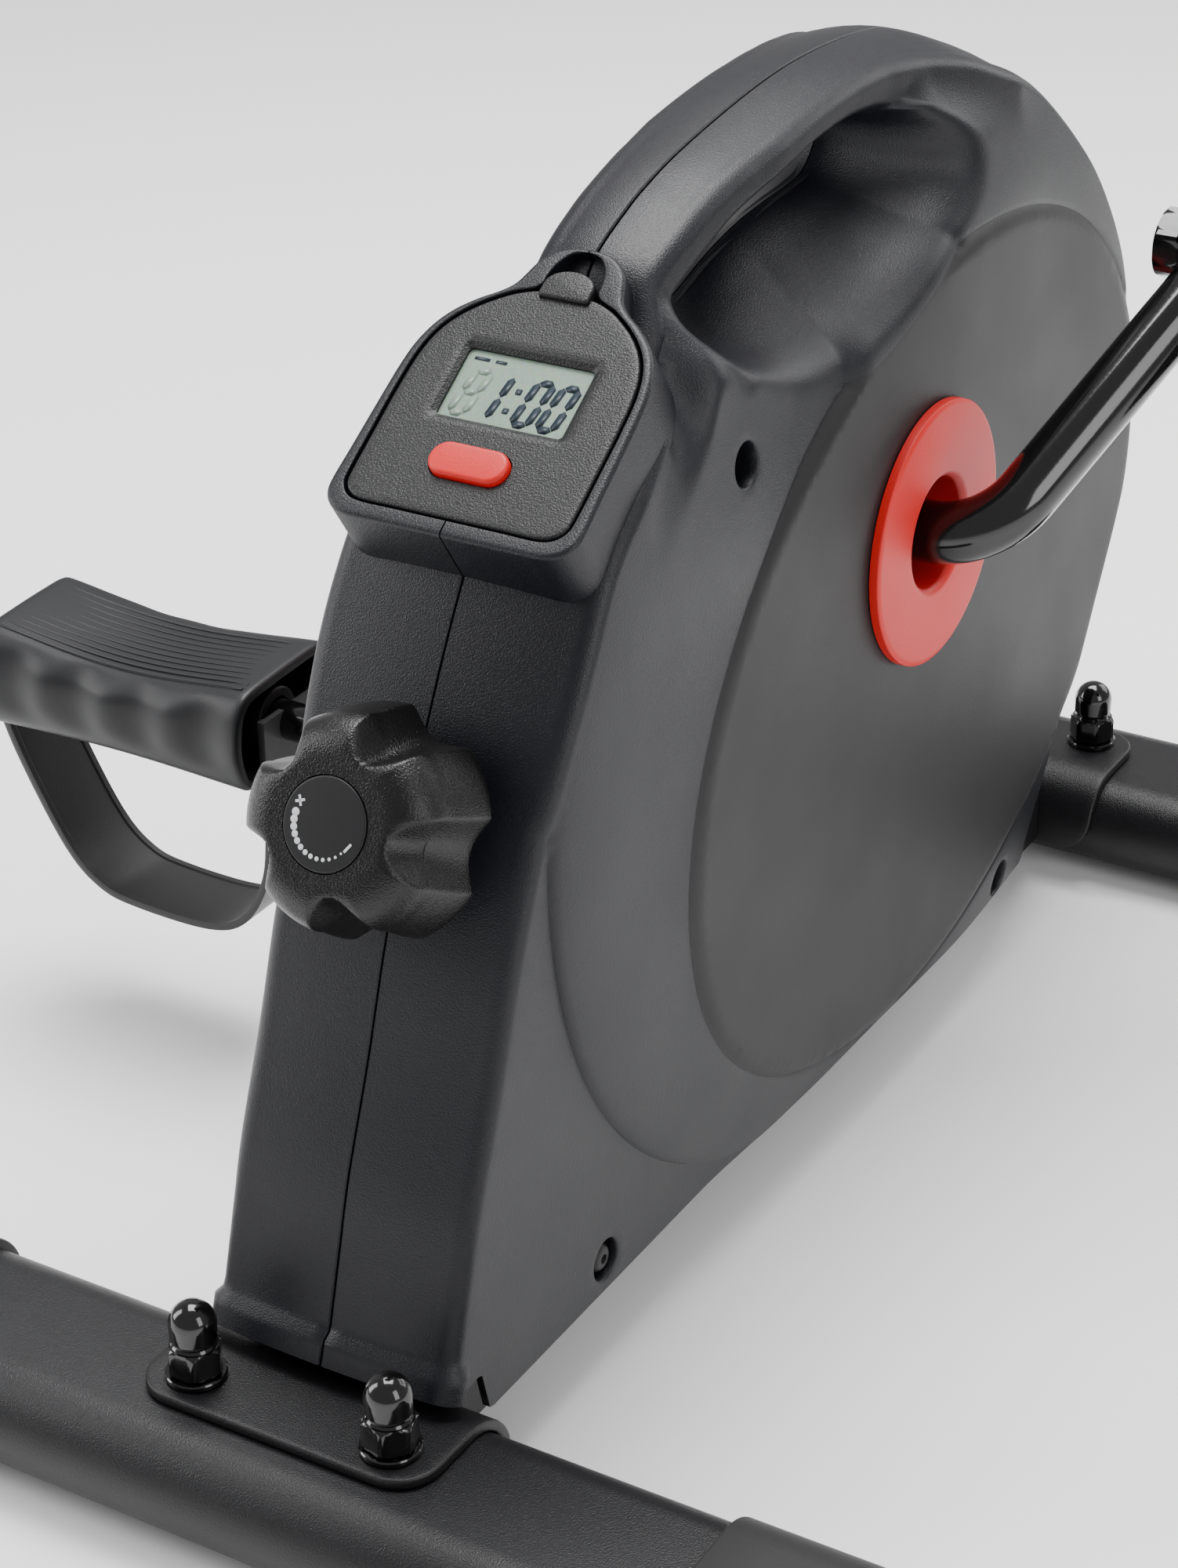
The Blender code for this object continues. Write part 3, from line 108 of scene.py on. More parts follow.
@dataclass(frozen=True)
class Finish:
    """A procedural surface: colour, gloss, grain and slow variation.

    Args:
        name: material name.
        colour: linear base colour.
        roughness: mean roughness.
        grain: pattern of the surface's fine bump.
        metallic: metallic value.
        coat: clear coat weight.
        sheen: soft sheen weight, for rubber.
        mottle: strength of the slow colour variation.
        roughness_swing: how far the roughness wanders.
        specular: strength of the plain reflection.
    """

    name: str
    colour: tuple[float, float, float]
    roughness: float
    grain: Grain = Grain.FINE
    metallic: float = 0.0
    coat: float = 0.0
    sheen: float = 0.0
    mottle: float = 0.12
    roughness_swing: float = 0.08
    specular: float = 0.38

    def build(self) -> bpy.types.Material:
        """Return the Blender material.

        Returns:
            The material, with its nodes linked.
        """
        material = bpy.data.materials.new(self.name)
        material.use_nodes = True
        nodes = material.node_tree.nodes
        links = material.node_tree.links
        shader = nodes["Principled BSDF"]
        shader.inputs["Metallic"].default_value = self.metallic
        shader.inputs["Specular IOR Level"].default_value = self.specular
        shader.inputs["Coat Weight"].default_value = self.coat
        shader.inputs["Coat Roughness"].default_value = COAT_ROUGHNESS
        shader.inputs["Sheen Weight"].default_value = self.sheen
        where = nodes.new("ShaderNodeTexCoord")

        slow = nodes.new("ShaderNodeTexNoise")
        slow.inputs["Scale"].default_value = MOTTLE_SCALE
        slow.inputs["Detail"].default_value = MOTTLE_DETAIL
        links.new(where.outputs["Object"], slow.inputs["Vector"])
        tint = nodes.new("ShaderNodeMix")
        tint.data_type = "RGBA"
        dark = tuple(c * (1 - self.mottle) for c in self.colour)
        light = tuple(min(1.0, c * (1 + self.mottle)) for c in self.colour)
        tint.inputs["A"].default_value = (*dark, 1)
        tint.inputs["B"].default_value = (*light, 1)
        links.new(slow.outputs["Fac"], tint.inputs["Factor"])

        scale, height = self.grain.value
        fine = nodes.new("ShaderNodeTexNoise")
        fine.inputs["Scale"].default_value = scale
        fine.inputs["Detail"].default_value = GRAIN_DETAIL
        links.new(where.outputs["Object"], fine.inputs["Vector"])
        speck = nodes.new("ShaderNodeMix")
        speck.data_type = "RGBA"
        speck.blend_type = "OVERLAY"
        speck.inputs["Factor"].default_value = GRAIN_SPECK
        links.new(tint.outputs["Result"], speck.inputs["A"])
        links.new(fine.outputs["Color"], speck.inputs["B"])
        links.new(speck.outputs["Result"], shader.inputs["Base Color"])

        gloss = nodes.new("ShaderNodeMapRange")
        gloss.inputs["To Min"].default_value = max(GLOSSIEST, self.roughness - self.roughness_swing)
        gloss.inputs["To Max"].default_value = min(1.0, self.roughness + self.roughness_swing)
        links.new(slow.outputs["Fac"], gloss.inputs["Value"])
        links.new(gloss.outputs["Result"], shader.inputs["Roughness"])

        bump = nodes.new("ShaderNodeBump")
        bump.inputs["Strength"].default_value = 1.0
        bump.inputs["Distance"].default_value = height
        links.new(fine.outputs["Fac"], bump.inputs["Height"])
        links.new(bump.outputs["Normal"], shader.inputs["Normal"])
        return material


@dataclass(frozen=True)
class Palette:
    """Every finish that the machine wears, by use."""

    housing: Finish = Finish("housing_abs", (0.0042, 0.0044, 0.0072), 0.38, Grain.FINE)
    disc: Finish = Finish("disc_satin_abs", (0.0085, 0.0080, 0.0088), 0.5, Grain.SATIN)
    console: Finish = Finish("console_grained_abs", (0.0050, 0.0050, 0.0060), 0.38, Grain.LEATHERY)
    knob: Finish = Finish("knob_grained_abs", (0.0030, 0.0029, 0.0029), 0.26, Grain.LEATHERY)
    gap: Finish = Finish("shadow_gap", (0.002, 0.002, 0.002), 0.9, Grain.SATIN)
    red: Finish = Finish("red_abs", (0.60, 0.008, 0.007), 0.45, Grain.SATIN, mottle=0.04)
    coat: Finish = Finish("powder_coat", (0.0050, 0.0050, 0.0062), 0.38, Grain.FINE)
    gloss: Finish = Finish("black_chrome", (0.003, 0.003, 0.003), 0.14, Grain.POLISHED,
                           metallic=0.2, coat=0.6, roughness_swing=0.05)
    rubber: Finish = Finish("cap_rubber", (0.0048, 0.0048, 0.0054), 0.6, Grain.SATIN, sheen=0.1)
    pedal: Finish = Finish("pedal_plastic", (0.0100, 0.0103, 0.0118), 0.44, Grain.SATIN)
    strap: Finish = Finish("strap_rubber", (0.0085, 0.0085, 0.0095), 0.42, Grain.SATIN, sheen=0.15)
    steel: Finish = Finish("turned_steel", (0.42, 0.42, 0.43), 0.28, Grain.POLISHED, metallic=1.0)
    iron: Finish = Finish("flywheel_iron", (0.14, 0.14, 0.145), 0.45, Grain.FINE, metallic=0.9)
    black: Finish = Finish("inner_plastic", (0.014, 0.014, 0.015), 0.5, Grain.SATIN)
    belt: Finish = Finish("belt_rubber", (0.012, 0.012, 0.012), 0.75, Grain.SATIN)
    board: Finish = Finish("circuit_board", (0.01, 0.11, 0.035), 0.4, Grain.SATIN)
    label: Finish = Finish("label_print", (0.0055, 0.0055, 0.0065), 0.5, Grain.POLISHED)
    ink: Finish = Finish("white_ink", (0.62, 0.63, 0.65), 0.5, Grain.POLISHED, mottle=0.03)
    lcd: Finish = Finish("lcd_panel", (0.22, 0.29, 0.235), 0.22, Grain.POLISHED, mottle=0.03)
    segment: Finish = Finish("lcd_segment", (0.006, 0.016, 0.026), 0.45, Grain.POLISHED)
    ghost: Finish = Finish("lcd_ghost", (0.20, 0.265, 0.215), 0.3, Grain.POLISHED, mottle=0.02)


class Workshop:
    """Makes each finish once and hands it out."""

    def __init__(self, palette: Palette) -> None:
        """Keep the palette; materials are built on first use."""
        self.palette = palette
        self._made: dict[str, bpy.types.Material] = {}

    def __getitem__(self, name: str) -> bpy.types.Material:
        """Return the material of one palette entry.

        Args:
            name: palette field.

        Returns:
            The finish's material.
        """
        if name not in self._made:
            self._made[name] = getattr(self.palette, name).build()
        return self._made[name]


# ---------------------------------------------------------------- mesh tools


def link(name: str, data: bpy.types.ID) -> bpy.types.Object:
    """Make an object of some data and put it in the scene.

    Args:
        name: object name.
        data: mesh, camera or light.

    Returns:
        The linked object.
    """
    obj = bpy.data.objects.new(name, data)
    bpy.context.scene.collection.objects.link(obj)
    return obj


def shade(mesh: bpy.types.Mesh, angle: float) -> None:
    """Shade a mesh smooth, but hard where faces turn by more than the angle in degrees."""
    mesh.shade_smooth()
    mesh.set_sharp_from_angle(angle=math.radians(angle))


def weld(obj: bpy.types.Object, other: bpy.types.Object) -> None:
    """Join another object's mesh into this one, materials included."""
    with bpy.context.temp_override(active_object=obj, selected_editable_objects=[obj, other]):
        bpy.ops.object.join()


def solidify(piece: bpy.types.Object, thickness: float, offset: float = -1) -> None:
    """Give a skin a wall, inwards unless the offset says otherwise.

    Args:
        piece: open skin.
        thickness: wall thickness.
        offset: -1 grows inwards, 0 both ways.
    """
    wall = piece.modifiers.new("Wall", "SOLIDIFY")
    wall.thickness = thickness
    wall.offset = offset


def quarter(steps: int) -> list[float]:
    """Return even angles from 0 to a right angle, both included."""
    return [math.pi / 2 * k / steps for k in range(steps + 1)]


def around(count: int) -> np.ndarray:
    """Return even angles of a full turn."""
    return np.linspace(0, 2 * math.pi, count, endpoint=False)


def circle(angles: np.ndarray, radius: np.ndarray | float, height: float) -> np.ndarray:
    """Return 3D points at some angles, radii and one height."""
    return np.column_stack([radius * np.cos(angles), radius * np.sin(angles),
                            np.broadcast_to(height, angles.shape)])


def hexagon(angles: np.ndarray, apothem: float) -> np.ndarray:
    """Return the radius of a hexagon at each angle."""
    return apothem / np.cos((angles + math.pi / 6) % (math.pi / 3) - math.pi / 6)


def stood(outline: np.ndarray, x: float) -> np.ndarray:
    """Put a (y, z) outline in the plane of one x."""
    return np.column_stack([np.full(len(outline), x), outline])


def tangents(line: np.ndarray) -> np.ndarray:
    """Return the unit direction at each point of a line."""
    run = np.gradient(line, axis=0)
    return run / np.linalg.norm(run, axis=1)[:, None]


def run_length(line: np.ndarray) -> np.ndarray:
    """Return the length of a line up to each of its points."""
    return np.concatenate([[0], np.cumsum(np.linalg.norm(np.diff(line, axis=0), axis=1))])


def smooth_step(low: float, high: float, value: np.ndarray) -> np.ndarray:
    """Return 0 below low, 1 above high and an eased ramp between.

    Args:
        low: start of the ramp.
        high: end of the ramp.
        value: numbers to ease.

    Returns:
        Array of eased values.
    """
    t = np.clip((np.asarray(value, float) - low) / (high - low), 0.0, 1.0)
    return t * t * (3 - 2 * t)


def spline(points: Sequence[Sequence[float]], steps: int, closed: bool = False) -> np.ndarray:
    """Sample a uniform Catmull-Rom curve.

    Args:
        points: points that the curve passes through.
        steps: samples per span.
        closed: whether the curve returns to its start.

    Returns:
        Array of sampled points, one row each.
    """
    p = np.asarray(points, float)
    count = len(p)
    spans = count if closed else count - 1
    t = np.arange(steps)[:, None] / steps
    found = []
    for i in range(spans):
        if closed:
            a, b, c, d = (p[(i + k) % count] for k in (-1, 0, 1, 2))
        else:
            a, b, c, d = (p[min(max(i + k, 0), count - 1)] for k in (-1, 0, 1, 2))
        found.append(0.5 * (2 * b + (c - a) * t + (2 * a - 5 * b + 4 * c - d) * t ** 2
                            + (3 * b - a - 3 * c + d) * t ** 3))
    if not closed:
        found.append(p[-1:])
    return np.vstack(found)


def resample(loop: np.ndarray, spacing: float, closed: bool = True) -> np.ndarray:
    """Place points at an even spacing along a polyline.

    Args:
        loop: polyline points.
        spacing: wanted distance between points.
        closed: whether the line returns to its start.

    Returns:
        Array of evenly spaced points.
    """
    p = np.vstack([loop, loop[:1]]) if closed else np.asarray(loop)
    run = run_length(p)
    count = max(4, int(round(run[-1] / spacing)))
    at = np.linspace(0, run[-1], count + 1)
    if closed:
        at = at[:-1]
    return np.column_stack([np.interp(at, run, p[:, k]) for k in range(p.shape[1])])


def outward(loop: np.ndarray) -> np.ndarray:
    """Return unit normals that point out of an anticlockwise loop.

    Args:
        loop: closed outline.

    Returns:
        One unit normal a point.
    """
    run = np.roll(loop, -1, axis=0) - np.roll(loop, 1, axis=0)
    normal = np.column_stack([run[:, 1], -run[:, 0]])
    return normal / np.linalg.norm(normal, axis=1)[:, None]


def inside(points: np.ndarray, loop: np.ndarray) -> np.ndarray:
    """Tell which points lie inside a closed loop.

    Args:
        points: points to test.
        loop: closed outline.

    Returns:
        One truth value a point.
    """
    x, y = points[:, 0], points[:, 1]
    found = np.zeros(len(points), bool)
    for (ax, ay), (bx, by) in zip(loop, np.roll(loop, -1, axis=0)):
        crosses = (ay > y) != (by > y)
        with np.errstate(divide="ignore", invalid="ignore"):
            found ^= crosses & (x < (bx - ax) * (y - ay) / (by - ay) + ax)
    return found


def distance(points: np.ndarray, line: np.ndarray, closed: bool = True) -> np.ndarray:
    """Return each point's distance to a polyline.

    Args:
        points: points to measure from.
        line: polyline.
        closed: whether it returns to its start.

    Returns:
        One distance a point.
    """
    ends = np.roll(line, -1, axis=0) if closed else line[1:]
    starts = line if closed else line[:-1]
    best = np.full(len(points), np.inf)
    for a, b in zip(starts, ends):
        run = b - a
        t = np.clip(((points - a) @ run) / max(run @ run, 1e-18), 0, 1)
        best = np.minimum(best, np.linalg.norm(points - a - t[:, None] * run, axis=1))
    return best


def ellipse(centre: Point2, semi_axes: Point2, turn: float, count: int) -> np.ndarray:
    """Return points round a turned ellipse.

    Args:
        centre: middle.
        semi_axes: half length and half width.
        turn: turn in radians.
        count: number of points.

    Returns:
        The anticlockwise outline.
    """
    a = around(count)
    u = semi_axes[0] * np.cos(a)
    v = semi_axes[1] * np.sin(a)
    return np.column_stack([centre[0] + u * math.cos(turn) - v * math.sin(turn),
                            centre[1] + u * math.sin(turn) + v * math.cos(turn)])


def stadium(half_width: float, half_height: float, centre: Point2 = (0, 0),
            steps: int = 24) -> np.ndarray:
    """Return an anticlockwise outline with half-round ends.

    Args:
        half_width: half of the long side.
        half_height: half of the short side.
        centre: middle.
        steps: facets in each end.

    Returns:
        The outline.
    """
    reach = half_width - half_height
    a = np.radians(np.linspace(-90, 90, steps + 1))
    right = np.column_stack([reach + half_height * np.cos(a), half_height * np.sin(a)])
    return np.vstack([right, -right]) + np.asarray(centre)


def rounded(half_width: float, half_height: float, radius: float, centre: Point2 = (0, 0),
            steps: int = 8) -> np.ndarray:
    """Return an anticlockwise rectangle with round corners.

    Args:
        half_width: half of the width.
        half_height: half of the height.
        radius: corner radius.
        centre: middle.
        steps: facets in each corner.

    Returns:
        The outline.
    """
    found = []
    for sx, sy, start in ((1, 1, 0), (-1, 1, 90), (-1, -1, 180), (1, -1, 270)):
        a = np.radians(np.linspace(start, start + 90, steps + 1))
        found.append(np.column_stack([sx * (half_width - radius) + radius * np.cos(a),
                                      sy * (half_height - radius) + radius * np.sin(a)]))
    return np.vstack(found) + np.asarray(centre)


def new_object(name: str, verts: Iterable, faces: Iterable, material: bpy.types.Material,
               angle: float = HARD_EDGE) -> bpy.types.Object:
    """Make a mesh object with smooth shading and outward faces.

    Args:
        name: object name.
        verts: vertex places.
        faces: vertex indices of each face.
        material: its material.
        angle: edges sharper than this stay hard, in degrees.

    Returns:
        The linked object.
    """
    mesh = bpy.data.meshes.new(name)
    mesh.from_pydata([tuple(map(float, v)) for v in verts], [], [tuple(map(int, f)) for f in faces])
    return finish_mesh(name, mesh, material, angle)


def finish_mesh(name: str, mesh: bpy.types.Mesh, material: bpy.types.Material,
                angle: float = HARD_EDGE) -> bpy.types.Object:
    """Clean a mesh, shade it and link it as an object.

    Args:
        name: object name.
        mesh: raw mesh.
        material: its material.
        angle: sharp edge limit in degrees.

    Returns:
        The linked object.
    """
    bm = bmesh.new()
    bm.from_mesh(mesh)
    bmesh.ops.remove_doubles(bm, verts=bm.verts, dist=WELD_DISTANCE)
    bmesh.ops.recalc_face_normals(bm, faces=bm.faces)
    bm.to_mesh(mesh)
    bm.free()
    mesh.name = name
    mesh.materials.clear()
    mesh.materials.append(material)
    shade(mesh, angle)
    return link(name, mesh)


def bake(obj: bpy.types.Object) -> bpy.types.Object:
    """Turn an object and its modifiers into a plain mesh at the origin.

    Args:
        obj: object with modifiers.

    Returns:
        The same object.
    """
    bpy.context.view_layer.update()
    evaluated = obj.evaluated_get(bpy.context.evaluated_depsgraph_get())
    mesh = bpy.data.meshes.new_from_object(evaluated)
    mesh.transform(obj.matrix_world)
    obj.modifiers.clear()
    old = obj.data
    obj.data = mesh
    obj.matrix_world = Matrix.Identity(4)
    mesh.name = old.name
    return obj


def loft(name: str, rings: Sequence[np.ndarray], material: bpy.types.Material, cap_start: bool = True,
         cap_end: bool = True, angle: float = HARD_EDGE) -> bpy.types.Object:
    """Skin a row of equal-count closed rings.

    Args:
        name: object name.
        rings: arrays of 3D points, the same count in each.
        material: its material.
        cap_start: whether to close the first ring.
        cap_end: whether to close the last ring.
        angle: sharp edge limit in degrees.

    Returns:
        The object.
    """
    count = len(rings[0])
    verts = np.vstack(rings)
    faces: list[tuple[int, ...]] = []
    for k in range(len(rings) - 1):
        for i in range(count):
            j = (i + 1) % count
            faces.append((k * count + i, k * count + j, (k + 1) * count + j, (k + 1) * count + i))
    if cap_start:
        faces.append(tuple(range(count))[::-1])
    if cap_end:
        faces.append(tuple(range((len(rings) - 1) * count, len(rings) * count)))
    return new_object(name, verts, faces, material, angle)


def placed(points: np.ndarray, matrix: Matrix) -> np.ndarray:
    """Apply a matrix to an array of points."""
    m = np.array(matrix)
    return points @ m[:3, :3].T + m[:3, 3]


def lift(outline: np.ndarray, height: float) -> np.ndarray:
    """Add a third coordinate to an outline."""
    return np.column_stack([outline, np.full(len(outline), height)])


def slab(name: str, outline: np.ndarray, low: float, high: float, matrix: Matrix,
         material: bpy.types.Material, edge: float = 0.5 * MM, steps: int = 3,
         both: bool = True) -> bpy.types.Object:
    """Extrude an outline with rounded edges.

    Args:
        name: object name.
        outline: anticlockwise outline in the matrix's X and Y.
        low: lower height.
        high: upper height.
        matrix: frame of the outline.
        material: its material.
        edge: radius of the rounded edges.
        steps: facets in each rounded edge.
        both: round the lower edge as well.

    Returns:
        The object.
    """
    normal = outward(outline)
    turn = quarter(steps)
    rings = []
    if both:
        rings += [lift(outline - normal * edge * (1 - math.sin(a)), low + edge * (1 - math.cos(a)))
                  for a in turn]
    else:
        rings.append(lift(outline, low))
    rings += [lift(outline - normal * edge * (1 - math.cos(a)), high - edge * (1 - math.sin(a)))
              for a in turn]
    return loft(name, [placed(r, matrix) for r in rings], material)


def turned(name: str, profile: Sequence[Point2], matrix: Matrix, material: bpy.types.Material,
           sides: int = 64, closed: bool = False, angle: float = HARD_EDGE) -> bpy.types.Object:
    """Turn a profile of (radius, height) about the matrix's Z axis.

    Args:
        name: object name.
        profile: points from one end to the other.
        matrix: frame whose Z is the axis.
        material: its material.
        sides: facets round the axis.
        closed: the profile returns to its start, as on a ring.
        angle: sharp edge limit in degrees.

    Returns:
        The object.
    """
    a = around(sides)
    rings = [circle(a, r, h) for r, h in profile]
    if closed:
        rings.append(rings[0].copy())
    return loft(name, [placed(r, matrix) for r in rings], material,
                cap_start=not closed and profile[0][0] > 0,
                cap_end=not closed and profile[-1][0] > 0, angle=angle)


def fillet(points: Sequence[Point2], radii: Sequence[float], steps: int = 4) -> list[Point2]:
    """Round the inner corners of an open profile.

    Args:
        points: profile corners.
        radii: fillet radius at each corner, 0 to keep it sharp.
        steps: facets in each fillet.

    Returns:
        The rounded profile.
    """
    found: list[Point2] = []
    for i, (point, radius) in enumerate(zip(points, radii)):
        if radius <= 0 or i in (0, len(points) - 1):
            found.append(tuple(point))
            continue
        b = np.asarray(point, float)
        to_a = np.asarray(points[i - 1], float) - b
        to_c = np.asarray(points[i + 1], float) - b
        reach = min(radius, 0.49 * np.linalg.norm(to_a), 0.49 * np.linalg.norm(to_c))
        start = b + to_a / np.linalg.norm(to_a) * reach
        end = b + to_c / np.linalg.norm(to_c) * reach
        for k in range(steps + 1):
            t = k / steps
            found.append(tuple((1 - t) ** 2 * start + 2 * t * (1 - t) * b + t * t * end))
    return found


def sweep(name: str, path: np.ndarray, section: np.ndarray, up: Vector,
          material: bpy.types.Material) -> bpy.types.Object:
    """Sweep a closed section along a path, kept square to a fixed direction.

    Args:
        name: object name.
        path: 3D points of the path.
        section: outline, its X along the side of the path and Y along up.
        up: direction that the section's Y keeps to.
        material: its material.

    Returns:
        The object.
    """
    rings = []
    for i, point in enumerate(path):
        run = Vector(path[min(i + 1, len(path) - 1)] - path[max(i - 1, 0)]).normalized()
        side = run.cross(up).normalized()
        top = side.cross(run).normalized()
        rings.append(np.array([Vector(point) + side * x + top * y for x, y in section]))
    return loft(name, rings, material)


AXIS_X = Matrix(((0, 0, 1, 0), (1, 0, 0, 0), (0, 1, 0, 0), (0, 0, 0, 1)))


def middle(node: str) -> Vector:
    """Centre of a CAD node's box."""
    low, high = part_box(node)
    return (Vector(low) + Vector(high)) / 2


def joint(name: str) -> dict:
    """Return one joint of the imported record."""
    return next(j for j in frame["record"]["behaviour"]["joints"] if j["name"] == name)


def leaning(origin: Vector, normal: Vector) -> Matrix:
    """Frame on a leaning front surface: X right, Y up the slope, Z outwards.

    Args:
        origin: place of the frame.
        normal: outward direction of the surface.

    Returns:
        The frame.
    """
    z = normal.normalized()
    x = Vector((1, 0, 0))
    y = z.cross(x)
    return Matrix.Translation(origin) @ Matrix((x, y, z)).transposed().to_4x4()


@dataclass
class Assembly:
    """Shared habits of every sub-assembly: finishing and riding."""

    shop: Workshop

    def settle(self, piece: bpy.types.Object, body: str, slot: str, *nodes: str) -> bpy.types.Object:
        """Let a piece ride on a body and stand for CAD nodes.

        Args:
            piece: the finished piece.
            body: the CAD body that carries it.
            slot: the record's material slot; not used.
            nodes: CAD nodes that the piece replaces.

        Returns:
            The same piece.
        """
        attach(piece, body)
        if nodes:
            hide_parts(*nodes)
        LOG.info("%s rides on %s", piece.name, body)
        return piece


def fill(outer: np.ndarray, holes: Sequence[np.ndarray], spacing: float,
         lines: Sequence[np.ndarray] = ()) -> tuple[np.ndarray, list[tuple[int, ...]]]:
    """Triangulate a flat region with holes on an even grid.

    Args:
        outer: closed outline of the region.
        holes: closed outlines that stay open.
        spacing: grid distance inside the region.
        lines: open lines that the triangles must follow.

    Returns:
        The points and the triangles.
    """
    loops = [outer, *holes]
    low, high = outer.min(axis=0), outer.max(axis=0)
    xs = np.arange(low[0], high[0], spacing)
    ys = np.arange(low[1], high[1], spacing * 0.866)
    grid = np.array([(x + (spacing / 2 if j % 2 else 0), y) for j, y in enumerate(ys) for x in xs])
    keep = inside(grid, outer)
    for hole in holes:
        keep &= ~inside(grid, hole)
    for loop in loops:
        keep &= distance(grid, loop) > 0.55 * spacing
    for line in lines:
        keep &= distance(grid, line, closed=False) > 0.4 * spacing
    points: list[np.ndarray] = []
    edges: list[tuple[int, int]] = []
    start = 0
    for path, closed in [(loop, True) for loop in loops] + [(line, False) for line in lines]:
        points.append(path)
        count = len(path)
        edges += [(start + i, start + (i + 1) % count) for i in range(count if closed else count - 1)]
        start += count
    points.append(grid[keep])
    cloud = np.vstack(points)
    verts, _, faces, *_ = delaunay_2d_cdt([Vector(p) for p in cloud], edges, [], 0, 1e-8)
    found = np.array([tuple(v) for v in verts])
    centres = np.array([found[list(f)].mean(axis=0) for f in faces])
    good = inside(centres, outer)
    for hole in holes:
        good &= ~inside(centres, hole)
    return found, [tuple(f) for f, ok in zip(faces, good) if ok]


class MeshBuilder:
    """Collects strips and patches that share their edges, with one material index a face."""

    def __init__(self) -> None:
        """Start empty."""
        self.verts: list[np.ndarray] = []
        self.faces: list[tuple[int, ...]] = []
        self.marks: list[int] = []
        self.count = 0

    def add(self, verts: np.ndarray, faces: Iterable[Sequence[int]], mark: int = 0) -> None:
        """Add a patch of faces.

        Args:
            verts: vertex places.
            faces: vertex indices within the patch.
            mark: material index.
        """
        faces = list(faces)
        self.verts.append(np.asarray(verts, float))
        self.faces += [tuple(int(i) + self.count for i in f) for f in faces]
        self.marks += [mark] * len(faces)
        self.count += len(verts)

    def strips(self, rings: Sequence[np.ndarray], closed: bool = True, mark: int = 0) -> None:
        """Add the quads between rings of equal count.

        Args:
            rings: rows of points.
            closed: whether each row is a loop.
            mark: material index.
        """
        count = len(rings[0])
        last = count if closed else count - 1
        faces = [(k * count + i, k * count + (i + 1) % count,
                  (k + 1) * count + (i + 1) % count, (k + 1) * count + i)
                 for k in range(len(rings) - 1) for i in range(last)]
        self.add(np.vstack(rings), faces, mark)

    def fan(self, ring: np.ndarray, mark: int = 0) -> None:
        """Close a ring with one face."""
        self.add(ring, [tuple(range(len(ring)))], mark)

    def mesh(self, name: str, merge: float = 2e-6) -> bpy.types.Mesh:
        """Return one welded mesh with outward faces.

        Args:
            name: mesh name.
            merge: distance below which vertices join.

        Returns:
            The mesh.
        """
        made = bpy.data.meshes.new(name)
        made.from_pydata(np.vstack(self.verts).tolist(), [], self.faces)
        for polygon, mark in zip(made.polygons, self.marks):
            polygon.material_index = mark
        bm = bmesh.new()
        bm.from_mesh(made)
        bmesh.ops.remove_doubles(bm, verts=bm.verts, dist=merge)
        bmesh.ops.dissolve_degenerate(bm, edges=bm.edges, dist=1e-7)
        bmesh.ops.recalc_face_normals(bm, faces=bm.faces)
        bm.to_mesh(made)
        bm.free()
        return made

    def build(self, name: str, materials: Sequence[bpy.types.Material], angle: float = 38.0,
              merge: float = 2e-6) -> bpy.types.Object:
        """Return the finished object.

        Args:
            name: object name.
            materials: material of each index.
            angle: sharp edge limit in degrees.
            merge: distance below which vertices join.

        Returns:
            The finished object.
        """
        made = self.mesh(name, merge)
        for material in materials:
            made.materials.append(material)
        shade(made, angle)
        return link(name, made)


# ---------------------------------------------------------------- housing


